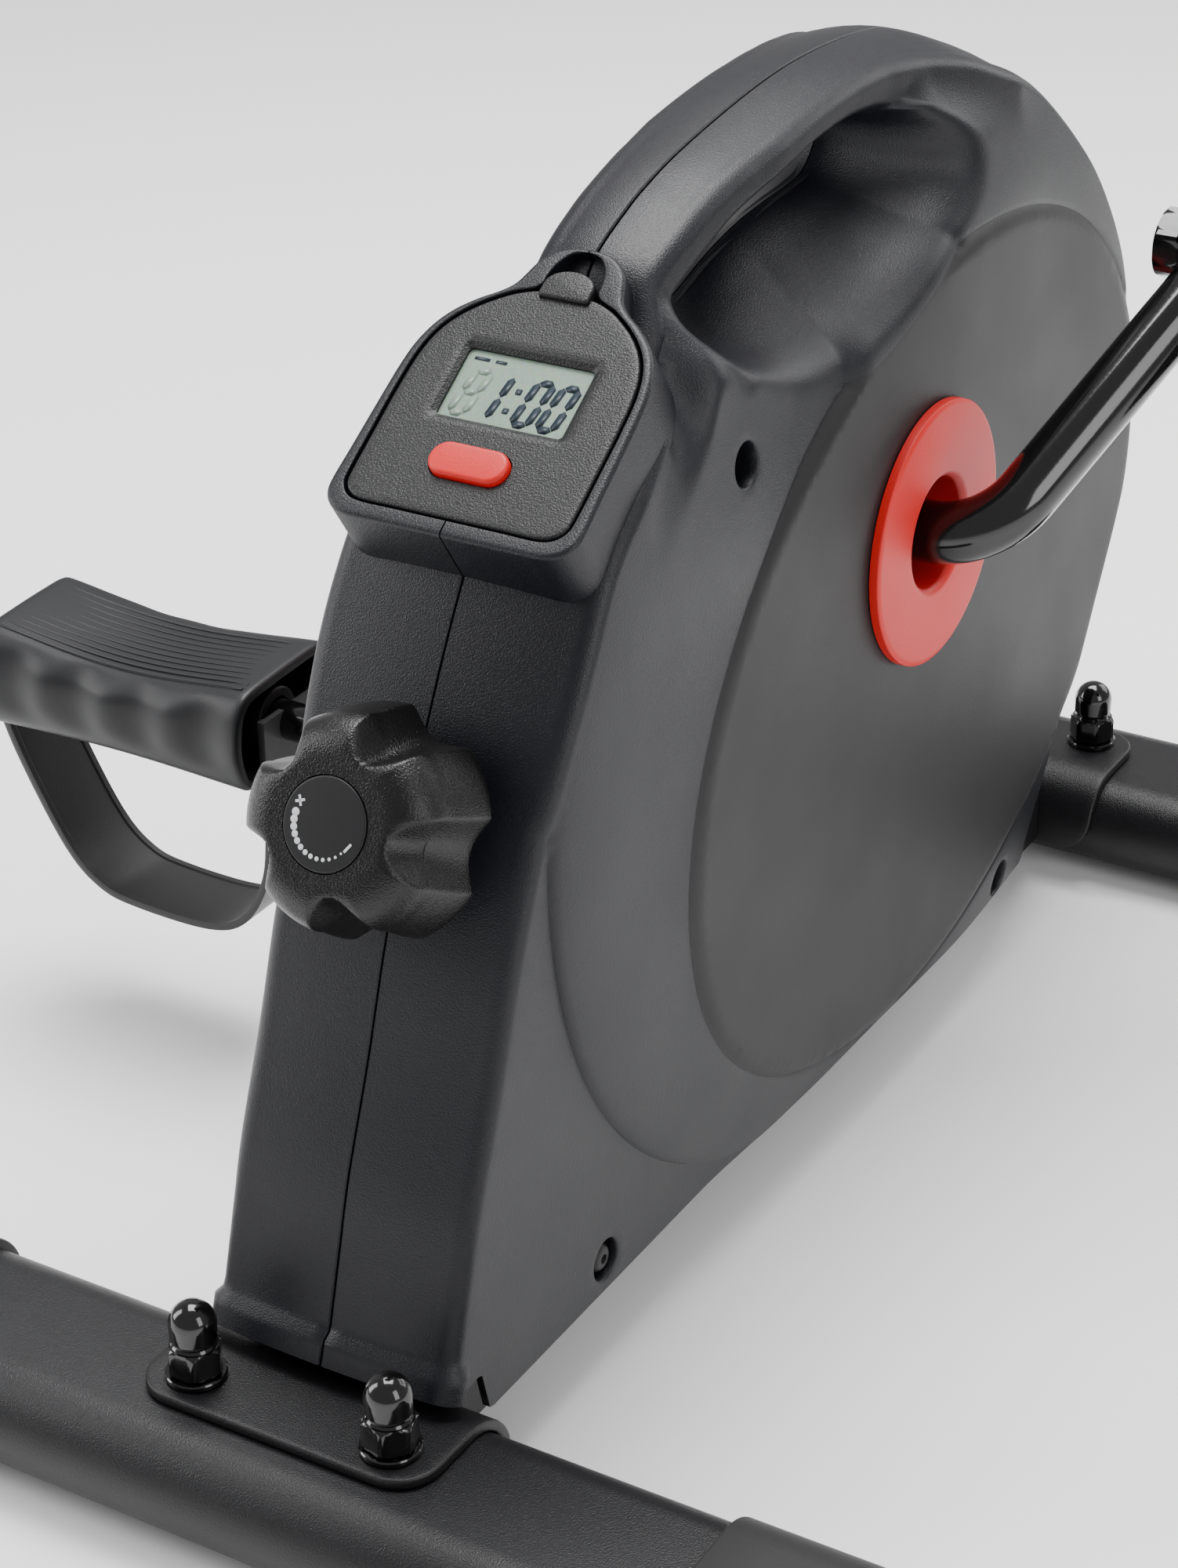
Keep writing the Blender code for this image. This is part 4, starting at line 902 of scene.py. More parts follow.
@dataclass
class Housing(Assembly):
    """Two moulded half shells with the carrying handle, side discs, trim rings and screw wells.

    Outlines are drawn in (y, z); the right half is made first and mirrored.
    """

    half_width: float = 36.0 * MM
    pillow_half_width: float = 40.6 * MM
    disc_half_width: float = 42.0 * MM
    edge_radius: float = 6.0 * MM
    seam: float = 0.22 * MM
    wall: float = 2.2 * MM
    bead_rise: float = 2.2 * MM
    bead_height: float = 9.0 * MM
    disc_chamfer: float = 4.0 * MM
    line_room: float = 1.2 * MM
    crest: tuple[Point2, ...] = (
        (-0.2012, 0.0413), (-0.1984, 0.0493), (-0.1920, 0.0710), (-0.1865, 0.0893),
        (-0.1756, 0.1173), (-0.1655, 0.1463), (-0.1535, 0.1740), (-0.1414, 0.2003),
        (-0.1264, 0.2263), (-0.1170, 0.2385), (-0.1050, 0.2480), (-0.0920, 0.2570),
        (-0.0800, 0.2665), (-0.0700, 0.2770), (-0.0615, 0.2890), (-0.0444, 0.2973),
        (-0.0324, 0.3013), (-0.0204, 0.3043), (-0.0034, 0.3073), (0.0176, 0.3103),
        (0.0396, 0.3122), (0.0626, 0.3122), (0.0866, 0.3103), (0.1055, 0.3062),
        (0.1345, 0.2925), (0.1660, 0.2668), (0.1840, 0.2460), (0.1985, 0.2220),
        (0.2070, 0.1950), (0.2105, 0.1700), (0.2095, 0.1450), (0.2030, 0.1275),
        (0.1885, 0.1020), (0.1735, 0.0765), (0.1615, 0.0590), (0.1560, 0.0450))
    ridge_half_width: tuple[Point2, ...] = ((-0.1000, 0.0360), (-0.0850, 0.0338), (-0.0810, 0.0312),
                                            (-0.0760, 0.0270), (-0.0720, 0.0226), (-0.0670, 0.0198),
                                            (-0.0630, 0.0178), (-0.0580, 0.0172), (-0.0480, 0.0180),
                                            (-0.0240, 0.0192), (0.0010, 0.0213), (0.0430, 0.0213),
                                            (0.0600, 0.0222), (0.0780, 0.0250), (0.0950, 0.0300),
                                            (0.1150, 0.0360), (0.1400, 0.0405), (0.2500, 0.0415))
    scoop: tuple[tuple[Point2, Point2, float], ...] = (
        ((-0.0440, 0.2690), (-0.0600, 0.2720), 0.5),
        ((-0.0345, 0.2645), (-0.0530, 0.2625), 0.75),
        ((-0.0200, 0.2675), (-0.0370, 0.2515), 0.85),
        ((-0.0040, 0.2726), (-0.0170, 0.2430), 0.85),
        ((0.0130, 0.2762), (0.0060, 0.2415), 0.9),
        ((0.0290, 0.2778), (0.0300, 0.2460), 0.9),
        ((0.0420, 0.2785), (0.0530, 0.2540), 0.9),
        ((0.0510, 0.2800), (0.0740, 0.2620), 0.85),
        ((0.0570, 0.2850), (0.0885, 0.2700), 0.7),
        ((0.0592, 0.2895), (0.0930, 0.2790), 0.5),
        ((0.0580, 0.2940), (0.0870, 0.2890), 0.35),
        ((0.0520, 0.2970), (0.0720, 0.2980), 0.2),
        ((0.0380, 0.2978), (0.0500, 0.3030), 0.0),
        ((0.0200, 0.2962), (0.0250, 0.3030), 0.0),
        ((0.0000, 0.2925), (0.0030, 0.2998), 0.0),
        ((-0.0200, 0.2872), (-0.0210, 0.2955), 0.0),
        ((-0.0350, 0.2802), (-0.0410, 0.2888), 0.05),
        ((-0.0435, 0.2742), (-0.0575, 0.2805), 0.3),
    )
    dish: tuple[Point2, ...] = ((0, 0), (0.06, 0.03), (0.16, 0.12), (0.30, 0.27), (0.46, 0.42), (0.62, 0.54),
                                (0.77, 0.63), (0.88, 0.71), (0.95, 0.79), (0.985, 0.88), (1, 1))
    foot_centre: Point2 = (-0.0076, 0.1604)
    foot_radius: float = 0.1392
    ring_radius: float = 38.6 * MM
    ring_bore: float = 16.3 * MM
    ring_height: float = 3 * MM

    def __post_init__(self) -> None:
        """Read the places that the frame fixes."""
        ring = middle("right_hub_ring")
        self.axis: Point2 = (ring.y, ring.z)
        self.floor_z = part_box("right_shell")[0][2]
        self.ring_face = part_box("right_hub_ring")[1][0] - self.ring_height
        self.disc_loop = ellipse((0.0599, 0.1443), (0.1470, 0.1120), math.radians(18), 560)
        self.screws: dict[str, Point2] = {}
        for word in ("front", "rear", "upper"):
            place = middle("shell_screw_" + word)
            self.screws[word] = (place.y, place.z)

    def outline(self) -> np.ndarray:
        """Open line from the front lip over the top to the rear foot, clockwise in (y, z)."""
        return resample(spline(self.crest, 10), 2.2 * MM, closed=False)

    def swell(self, p: np.ndarray) -> np.ndarray:
        """Half width of the side face at each (y, z).

        Args:
            p: places on the side face.

        Returns:
            One x a place, for the right half.
        """
        y, z = p[:, 0], p[:, 1]
        top = spline(self.crest, 6)
        top = top[top[:, 1] > 0.2]
        bar = smooth_step(-0.062, -0.045, y) * (1 - smooth_step(0.055, 0.075, y))
        below = np.interp(y, top[:, 0], top[:, 1]) - z - 14 * MM * bar
        narrow = 1 - smooth_step(6 * MM, 28 * MM, below)
        ridge_x = np.interp(y, *np.array(self.ridge_half_width).T)
        x = self.half_width + np.minimum(ridge_x - self.half_width, 0) * narrow * (z > 0.2)
        foot = self.foot_radius - np.hypot(y - self.foot_centre[0], z - self.foot_centre[1])
        into = np.clip(foot / (34 * MM), 0, 1)
        pillow = np.sqrt(np.clip(1 - (1 - into) ** 2, 0, 1))
        high = 1 - smooth_step(0.205, 0.262, z)
        rear = distance(p, self.disc_loop)
        near_disc = np.where(inside(p, self.disc_loop), 0.0, rear)
        rear_rise = (1 - smooth_step(0, 36 * MM, near_disc)) * (0.7 + 0.3 * smooth_step(0.02, 0.10, y))
        lift_to = self.pillow_half_width - self.half_width
        x = x + lift_to * np.maximum(pillow * (0.25 + 0.75 * high), rear_rise)
        within = inside(p, self.disc_loop)
        deep = np.where(within, rear, -rear)
        groove = np.exp(-((deep + 0.5 * MM) / (0.55 * MM)) ** 2) * 0.4 * MM
        step = smooth_step(-self.disc_chamfer, self.disc_chamfer, deep) * 2 - 1
        blend = step * (self.disc_half_width - x)
        return x + np.where(within, blend, 0) - groove

    def stations(self) -> tuple[np.ndarray, np.ndarray, np.ndarray]:
        """Rim line, its inward normals and the edge radius at each station.

        Returns:
            The three arrays, one entry a station.
        """
        line = self.outline()
        run = tangents(line)
        inward = np.column_stack([run[:, 1], -run[:, 0]])
        for _ in range(6):
            inward[1:-1] = (inward[:-2] + 2 * inward[1:-1] + inward[2:]) / 4
            inward /= np.linalg.norm(inward, axis=1)[:, None]
        on_bar = smooth_step(-0.075, -0.04, line[:, 0]) * (1 - smooth_step(0.05, 0.09, line[:, 0]))
        on_bar = on_bar * (line[:, 1] > 0.25)
        rear = smooth_step(0.06, 0.12, line[:, 0])
        radius = self.edge_radius + 0.3 * MM * on_bar + 4 * MM * rear
        return line, inward, radius

    def rim(self, line: np.ndarray, inward: np.ndarray, radius: np.ndarray,
            inner_x: np.ndarray) -> list[np.ndarray]:
        """Rings from the seam over the front, top and rear face to the side face.

        Args:
            line: rim line.
            inward: normals of the line, into the side face.
            radius: edge radius at each station.
            inner_x: x of the side face beside each station.

        Returns:
            The rings, from the seam outwards.
        """
        bead = np.clip((line[0, 1] + self.bead_height - line[:, 1]) / (3 * MM), 0, 1)
        bead = np.where(line[:, 0] < 0, bead * bead * (3 - 2 * bead), 0) * self.bead_rise
        crown = (1.6 + 3.4 * smooth_step(0.05, 0.12, line[:, 0])) * MM
        rings = []

        def ring(x: np.ndarray, deep: np.ndarray) -> None:
            """Add one ring at the given x and depth below the rim line."""
            yz = line + inward * (deep - bead)[:, None]
            rings.append(np.column_stack([x, yz]))

        flat = inner_x - radius
        ring(np.full(len(line), self.seam), np.full(len(line), 1.0 * MM))
        ring(np.full(len(line), self.seam + 0.05 * MM), np.full(len(line), 0.35 * MM))
        ring(np.full(len(line), self.seam + 0.45 * MM), np.full(len(line), 0.0))
        for t in (0.12, 0.3, 0.5, 0.7, 0.88, 1.0):
            ring(flat * t + (1 - t) * 0.6 * MM, crown * t * t)
        for a in quarter(8)[1:]:
            x = flat + radius * math.sin(a) + bead * math.sin(a)
            deep = crown + (radius - crown) * (1 - math.cos(a)) + bead * (1 - math.cos(a))
            ring(x, deep)
        return rings

    def gap_loops(self) -> tuple[np.ndarray, np.ndarray, np.ndarray]:
        """Matched inner and outer loops of the handle gap, and how much each station is dished.

        Returns:
            The inner loop, the outer loop and the shares.
        """
        inner = spline([pair[0] for pair in self.scoop], 10, closed=True)
        outer = spline([pair[1] for pair in self.scoop], 10, closed=True)
        dished = spline([(pair[2], 0) for pair in self.scoop], 10, closed=True)[:, 0]
        return inner, outer, np.clip(dished, 0, 1)

    def roll(self, inner: np.ndarray, outer: np.ndarray, dished: np.ndarray) -> list[np.ndarray]:
        """Rings from the seam in the handle gap out to the side face: round under the bar, dished below.

        Args:
            inner: loop at the seam.
            outer: loop on the side face.
            dished: 0 for a round section and 1 for a dish, at each station.

        Returns:
            The rings, starting with a lip that turns into the gap.
        """
        side = self.swell(outer)
        bowl = resample(spline(self.dish, 8), 1 / 24, closed=False)
        rings = []
        for k, (bowl_x, bowl_t) in enumerate(bowl):
            a = math.pi / 2 * k / (len(bowl) - 1)
            share = dished * bowl_x + (1 - dished) * math.sin(a)
            t = dished * bowl_t + (1 - dished) * (1 - math.cos(a))
            rings.append(np.column_stack([self.seam + (side - self.seam) * share,
                                          inner + (outer - inner) * t[:, None]]))
        lip = rings[0].copy()
        away = inner - inner.mean(axis=0)
        away /= np.linalg.norm(away, axis=1)[:, None]
        lip[:, 1:] += away * 1.0 * MM
        return [lip, *rings]

    def screw_wells(self) -> list[np.ndarray]:
        """Loops of the countersunk screw wells on the side face."""
        return [ellipse(place, (6.6 * MM, 6.6 * MM), 0, 44) for place in self.screws.values()]

    def half(self) -> MeshBuilder:
        """Surface of the right half shell.

        Returns:
            A builder that holds the open skin.
        """
        line, inward, radius = self.stations()
        seat = line + inward * radius[:, None]
        inner_x = self.swell(seat)
        rings = self.rim(line, inward, radius, inner_x)
        seat = rings[-1][:, 1:]
        edge_x = rings[-1][:, 0]
        builder = MeshBuilder()
        builder.strips(rings, closed=False)

        foot_rear = (seat[-1][0] - 4 * MM, self.floor_z)
        foot_front = (-0.1805, self.floor_z)
        bottom = resample(np.array([seat[-1], foot_rear, foot_front, (-0.1840, 0.0405), seat[0]]),
                          2.5 * MM, closed=False)[1:-1]
        loop = np.vstack([seat, bottom])
        inner, outer, dished = self.gap_loops()
        gap_rings = self.roll(inner, outer, dished)
        builder.strips(gap_rings)
        wells = self.screw_wells()
        hub = ellipse(self.axis, (19.5 * MM, 19.5 * MM), 0, 72)
        lines = []
        discs = [self.offset_disc(grow * MM) for grow in (2.4, 1.4, 0.5, -0.3, -1.4, -4.0)]
        feet = [ellipse(self.foot_centre, (self.foot_radius - d * MM,) * 2, 0, 420) for d in (0, 1, 3, 6)]
        for edge, under_disc in [(e, False) for e in discs] + [(e, True) for e in feet]:
            free = inside(edge, loop) & ~inside(edge, outer) & ~inside(edge, hub)
            for other in (loop, outer, hub, *wells):
                free &= distance(edge, other) > self.line_room
            for well in wells:
                free &= ~inside(edge, well)
            if under_disc:
                free &= ~inside(edge, discs[0]) & (distance(edge, discs[0]) > self.line_room)
            lines += self.runs(edge, free)
        points, faces = fill(loop, [outer, hub, *wells], 2.4 * MM, lines)
        x = self.swell(points)
        pushed = {tuple(np.round(p * 1e7).astype(int)): e for p, e in zip(seat, edge_x)}
        for i, p in enumerate(points):
            key = tuple(np.round(p * 1e7).astype(int))
            if key in pushed:
                x[i] = pushed[key]
        verts = np.column_stack([x, points])
        centre = np.array([points[list(f)].mean(axis=0) for f in faces])
        on_disc = inside(centre, self.disc_loop)
        for mark in (0, 1):
            builder.add(verts, [f for f, d in zip(faces, on_disc) if d == bool(mark)], mark)
        for well in wells:
            builder.strips(self.well_rings(well))
        builder.strips([np.column_stack([self.swell(hub) - d, hub]) for d in (0, 2 * MM, 6 * MM)])
        return builder

    @staticmethod
    def runs(loop: np.ndarray, kept: np.ndarray) -> list[np.ndarray]:
        """Split a closed loop into the open lines of its kept points.

        Args:
            loop: closed outline.
            kept: whether each point stays.

        Returns:
            The open lines.
        """
        if kept.all():
            return [np.vstack([loop, loop[:1]])]
        turn = int(np.argmin(kept))
        loop, kept = np.roll(loop, -turn, axis=0), np.roll(kept, -turn)
        marks = np.flatnonzero(np.diff(np.concatenate([[0], kept.astype(int), [0]])))
        return [loop[a:b] for a, b in zip(marks[::2], marks[1::2]) if b - a > 3]

    def offset_disc(self, grow: float) -> np.ndarray:
        """Disc outline grown outwards."""
        return self.disc_loop + outward(self.disc_loop) * grow

    def well_rings(self, well: np.ndarray) -> list[np.ndarray]:
        """Rings of one screw well, from its mouth to its bottom.

        Args:
            well: mouth of the well.

        Returns:
            The rings.
        """
        centre = well.mean(axis=0)
        top = self.swell(well)
        rings = []
        for shrink, deep in ((1, 0), (0.95, 0.15 * MM), (0.9, 0.7 * MM), (0.87, 3 * MM), (0.82, 9.4 * MM),
                             (0.45, 9.6 * MM)):
            yz = centre + (well - centre) * shrink
            rings.append(np.column_stack([top - deep, yz]))
        return rings

    def shells(self) -> None:
        """Build both half shells with their console pods."""
        pod = ConsolePod(self.shop)
        for side in Side:
            builder = self.half()
            mesh = builder.mesh(side.word + "_shell")
            if side is Side.LEFT:
                mesh.transform(Matrix.Diagonal((-1, 1, 1, 1)))
                mesh.flip_normals()
            self.face_out(mesh, side)
            obj = link(f"{side.word}_half_shell", mesh)
            for finish in ("housing", "disc"):
                mesh.materials.append(self.shop[finish])
            solidify(obj, self.wall)
            bake(obj)
            shade(obj.data, 40)
            weld(obj, pod.half(side))
            self.settle(obj, "root", "housing", side.word + "_shell")

    @staticmethod
    def face_out(mesh: bpy.types.Mesh, side: Side) -> None:
        """Turn the surface so that its side face points away from the seam.

        Args:
            mesh: half shell's mesh.
            side: hand of the half.
        """
        total = sum(p.normal.x * p.area for p in mesh.polygons)
        if total * side.value < 0:
            mesh.flip_normals()

    def hub_rings(self) -> None:
        """Build the red trim rings with their sleeves."""
        for side in Side:
            face = self.ring_face
            crown = face + self.ring_height
            corners = [(self.ring_radius, face), (self.ring_radius, face + 2.6 * MM),
                       (self.ring_radius - 1.2 * MM, crown),
                       (self.ring_bore + 1.6 * MM, crown), (self.ring_bore, face + 1.6 * MM),
                       (self.ring_bore, face - 9 * MM), (self.ring_bore + 2.1 * MM, face - 9 * MM),
                       (self.ring_bore + 2.1 * MM, face)]
            profile = fillet(corners, [0, 0.5 * MM, 0.8 * MM, 1.0 * MM, 0.8 * MM, 0, 0, 0], 4)
            matrix = Matrix.Translation((0, *self.axis)) @ (side.turn @ AXIS_X)
            ring = turned(side.word + "_trim_ring", profile, matrix, self.shop["red"], 128, closed=True)
            self.settle(ring, "root", "red_trim", side.word + "_hub_ring")

    def build(self) -> None:
        """Build the housing."""
        self.shells()
        self.hub_rings()


@dataclass
class ConsolePod(Assembly):
    """Shield-shaped collar of the console, moulded on the half shells."""

    depth: float = 20.0 * MM
    floor_depth: float = 7.5 * MM
    seam: float = 0.22 * MM
    flange: tuple[Point2, ...] = ((0, -0.0427), (0.0200, -0.0427), (0.0285, -0.0425), (0.0328, -0.0408),
                                  (0.0353, -0.0376), (0.0359, -0.0335), (0.0356, -0.0250), (0.0352, -0.0120),
                                  (0.0347, 0.0010), (0.0337, 0.0090), (0.0314, 0.0156), (0.0280, 0.0208),
                                  (0.0233, 0.0252), (0.0185, 0.0286), (0.0155, 0.0316), (0.0141, 0.0350),
                                  (0.0124, 0.0392), (0.0088, 0.0430), (0.0045, 0.0448), (0, 0.0452))
    gap: tuple[Point2, ...] = ((0, -0.0384), (0.0160, -0.0384), (0.0250, -0.0384), (0.0292, -0.0373),
                               (0.0317, -0.0344), (0.0323, -0.0304), (0.0323, -0.0180), (0.0322, -0.0050),
                               (0.0315, 0.0065), (0.0290, 0.0150), (0.0238, 0.0220), (0.0155, 0.0283),
                               (0.0098, 0.0308), (0.0080, 0.0326), (0.0078, 0.0354), (0.0067, 0.0394),
                               (0.0040, 0.0428), (0, 0.0440))

    def __post_init__(self) -> None:
        """Find the leaning frame of the console's face."""
        self.matrix = console_frame()

    @staticmethod
    def mirrored(right: Sequence[Point2], steps: int = 6) -> np.ndarray:
        """Closed anticlockwise outline from its right half, bottom to top."""
        line = spline(right, steps)
        return np.vstack([line, line[-2:0:-1] * (-1, 1)])

    def half(self, side: Side) -> bpy.types.Object:
        """One half of the collar as a closed wall.

        Args:
            side: hand of the half.

        Returns:
            The finished object.
        """
        outer = resample(self.mirrored(self.flange), 0.8 * MM)
        inner = resample(self.mirrored(self.gap), 0.8 * MM)
        outer = self.matched(outer, inner)
        away = outward(outer)
        towards = outward(inner)
        rings = [lift(outer, -self.depth)]
        radius = 1.4 * MM
        for a in quarter(6):
            rings.append(lift(outer - away * radius * (1 - math.cos(a)), -radius * (1 - math.sin(a))))
        lip = 0.4 * MM
        for a in quarter(4):
            rings.append(lift(inner + towards * lip * (1 - math.sin(a)), -lip * (1 - math.cos(a))))
        rings.append(lift(inner, -self.floor_depth))
        builder = MeshBuilder()
        builder.strips([placed(r, self.matrix) for r in rings])
        floor, faces = fill(inner, [], 3 * MM)
        builder.add(placed(lift(floor, -self.floor_depth), self.matrix), faces, 1)
        back, faces = fill(outer, [], 4 * MM)
        builder.add(placed(lift(back, -self.depth), self.matrix), faces)
        mesh = builder.mesh("pod")
        bm = bmesh.new()
        bm.from_mesh(mesh)
        cut = bmesh.ops.bisect_plane(bm, geom=[*bm.verts, *bm.edges, *bm.faces], dist=WELD_DISTANCE,
                                     plane_co=(side.value * self.seam, 0, 0), plane_no=(side.value, 0, 0),
                                     clear_inner=True)
        rim = [e for e in cut["geom_cut"] if isinstance(e, bmesh.types.BMEdge)]
        bmesh.ops.edgeloop_fill(bm, edges=rim)
        bmesh.ops.recalc_face_normals(bm, faces=bm.faces)
        bm.to_mesh(mesh)
        bm.free()
        for finish in ("housing", "gap"):
            mesh.materials.append(self.shop[finish])
        shade(mesh, 32)
        return link("pod", mesh)

    @staticmethod
    def matched(outer: np.ndarray, inner: np.ndarray) -> np.ndarray:
        """Points on the outer line that face each inner point, by angle.

        Args:
            outer: outline to sample.
            inner: outline to match.

        Returns:
            As many points as the inner outline has.
        """
        centre = np.array((0, 2 * MM))
        target = np.unwrap(np.arctan2(*(inner - centre).T[::-1]))
        ring = np.vstack([outer, outer, outer])
        angle = np.unwrap(np.arctan2(*(ring - centre).T[::-1]))
        shift = 2 * math.pi * round((target.mean() - angle.mean()) / (2 * math.pi))
        return np.column_stack([np.interp(target - shift, angle, ring[:, k]) for k in (0, 1)])


def console_frame() -> Matrix:
    """Leaning frame of the console's face: X right, Y up the slope, Z outwards.

    Returns:
        The frame, with its origin on the face.
    """
    normal = -Vector(joint("button_press")["axis"])
    panel_centre = middle("display_panel")
    return leaning(panel_centre + normal * 2.3 * MM, normal)


# ---------------------------------------------------------------- node trees


class Tree:
    """A Geometry Nodes tree with named inputs, baked to plain meshes.

    Args:
        name: tree name.
        inputs: socket name to (socket type, default value).
    """

    def __init__(self, name: str, inputs: dict[str, tuple[str, object]]) -> None:
        """Open a tree with its named inputs and a Geometry output.

        Args:
            name: tree name.
            inputs: socket name to (socket type, default value).
        """
        self.group = bpy.data.node_groups.new(name, "GeometryNodeTree")
        face = self.group.interface
        self.sockets: dict[str, str] = {}
        for word, (kind, value) in inputs.items():
            socket = face.new_socket(word, in_out="INPUT", socket_type=kind)
            if value is not None:
                socket.default_value = value
            self.sockets[word] = socket.identifier
        face.new_socket("Geometry", in_out="OUTPUT", socket_type="NodeSocketGeometry")
        self.start = self.group.nodes.new("NodeGroupInput")
        self.end = self.group.nodes.new("NodeGroupOutput")

    def input(self, word: str) -> bpy.types.NodeSocket:
        """Return the socket of a named input."""
        return self.start.outputs[word]

    def node(self, kind: str, wires: dict[str | int, object] | None = None,
             **settings: object) -> bpy.types.Node:
        """Add a node, its settings and the values or links of its inputs.

        Args:
            kind: node type.
            wires: value or source socket of each input.
            settings: properties of the node.

        Returns:
            The node.
        """
        made = self.group.nodes.new(kind)
        for word, value in settings.items():
            setattr(made, word, value)
        for word, value in (wires or {}).items():
            if isinstance(value, bpy.types.NodeSocket):
                self.group.links.new(value, made.inputs[word])
            else:
                made.inputs[word].default_value = value
        return made

    def math(self, operation: str, *values: object) -> bpy.types.NodeSocket:
        """Add a Math node and return its result."""
        node = self.node("ShaderNodeMath", dict(enumerate(values)), operation=operation)
        return node.outputs[0]

    def scatter(self, part: str, points: bpy.types.NodeSocket, **wires: object) -> None:
        """Set a named part on every point and close the tree.

        Args:
            part: name of the input that holds the part.
            points: where the parts go.
            wires: other inputs of Instance on Points.
        """
        info = self.node("GeometryNodeObjectInfo", {"Object": self.input(part)})
        put = self.node("GeometryNodeInstanceOnPoints",
                        {"Points": points, "Instance": info.outputs["Geometry"], **wires})
        self.close(put.outputs[0])

    def close(self, geometry: bpy.types.NodeSocket) -> None:
        """End the tree in Realize Instances and Set Material.

        Args:
            geometry: what the tree has made.
        """
        real = self.node("GeometryNodeRealizeInstances", {"Geometry": geometry})
        paint = self.node("GeometryNodeSetMaterial",
                          {"Geometry": real.outputs[0], "Material": self.input("Finish")})
        self.group.links.new(paint.outputs[0], self.end.inputs["Geometry"])

    def bake(self, name: str, values: dict[str, object], matrix: Matrix | None = None,
             stamp: bpy.types.Object | None = None, angle: float = HARD_EDGE) -> bpy.types.Object:
        """Run the tree once and return its result as a plain mesh object.

        Args:
            name: object name.
            values: value of each named input.
            matrix: where the result goes.
            stamp: source object to remove afterwards.
            angle: sharp edge limit in degrees.

        Returns:
            The object, without its modifier.
        """
        holder = link(name, bpy.data.meshes.new(name))
        modifier = holder.modifiers.new("Tree", "NODES")
        modifier.node_group = self.group
        for word, value in values.items():
            modifier[self.sockets[word]] = value
        bpy.context.view_layer.update()
        evaluated = holder.evaluated_get(bpy.context.evaluated_depsgraph_get())
        mesh = bpy.data.meshes.new_from_object(evaluated)
        if matrix is not None:
            mesh.transform(matrix)
        bpy.data.objects.remove(holder)
        if stamp is not None:
            bpy.data.objects.remove(stamp)
        mesh.name = name
        shade(mesh, angle)
        return link(name, mesh)


def row_tree() -> Tree:
    """Tree that repeats an object along a straight row.

    Returns:
        The closed tree.
    """
    tree = Tree("row_of_parts", {
        "Part": ("NodeSocketObject", None), "Finish": ("NodeSocketMaterial", None),
        "Count": ("NodeSocketInt", 8), "First": ("NodeSocketVector", (0.0, 0.0, 0.0)),
        "Step": ("NodeSocketVector", (0.0, 0.01, 0.0)), "Turn": ("NodeSocketVector", (0.0, 0.0, 0.0))})
    line = tree.node("GeometryNodeMeshLine", {
        "Count": tree.input("Count"), "Start Location": tree.input("First"),
        "Offset": tree.input("Step")}, mode="OFFSET")
    tree.scatter("Part", line.outputs[0], Rotation=tree.input("Turn"))
    return tree


def grid_tree() -> Tree:
    """Tree that sets one object at the four corners of a bolt pattern.

    Returns:
        The closed tree.
    """
    tree = Tree("bolt_pattern", {
        "Part": ("NodeSocketObject", None), "Finish": ("NodeSocketMaterial", None),
        "Bolt Spacing": ("NodeSocketFloat", 0.06), "Row Spacing": ("NodeSocketFloat", 0.4),
        "Twist": ("NodeSocketFloat", 0.3), "Seed": ("NodeSocketInt", 4)})
    grid = tree.node("GeometryNodeMeshGrid", {"Size X": tree.input("Bolt Spacing"),
                                              "Size Y": tree.input("Row Spacing"),
                                              "Vertices X": 2, "Vertices Y": 2})
    rand = tree.node("FunctionNodeRandomValue", {"Seed": tree.input("Seed")}, data_type="FLOAT")
    tree.group.links.new(tree.input("Twist"), rand.inputs[3])
    spin = tree.node("ShaderNodeCombineXYZ", {"Z": rand.outputs[1]})
    tree.scatter("Part", grid.outputs[0], Rotation=spin.outputs[0])
    return tree


def dial_tree() -> Tree:
    """Tree that sets dots on an arc, each a little smaller than the last.

    Returns:
        The closed tree.
    """
    tree = Tree("dial_dots", {
        "Dot": ("NodeSocketObject", None), "Finish": ("NodeSocketMaterial", None),
        "Count": ("NodeSocketInt", 13), "Arc Radius": ("NodeSocketFloat", 0.008),
        "Start Angle": ("NodeSocketFloat", 2.5), "End Angle": ("NodeSocketFloat", 5.2),
        "Last Size": ("NodeSocketFloat", 0.35)})
    line = tree.node("GeometryNodeMeshLine", {"Count": tree.input("Count")})
    index = tree.node("GeometryNodeInputIndex").outputs[0]
    share = tree.math("DIVIDE", index, tree.math("SUBTRACT", tree.input("Count"), 1.0))
    sweep_angle = tree.math("SUBTRACT", tree.input("End Angle"), tree.input("Start Angle"))
    angle = tree.math("ADD", tree.input("Start Angle"), tree.math("MULTIPLY", share, sweep_angle))
    spot = tree.node("ShaderNodeCombineXYZ", {
        "X": tree.math("MULTIPLY", tree.math("COSINE", angle), tree.input("Arc Radius")),
        "Y": tree.math("MULTIPLY", tree.math("SINE", angle), tree.input("Arc Radius"))})
    points = tree.node("GeometryNodeSetPosition", {"Geometry": line.outputs[0], "Position": spot.outputs[0]})
    shrink = tree.math("SUBTRACT", 1.0,
                       tree.math("MULTIPLY", share, tree.math("SUBTRACT", 1.0, tree.input("Last Size"))))
    tree.scatter("Dot", points.outputs[0], Scale=shrink)
    return tree


# ---------------------------------------------------------------- knob


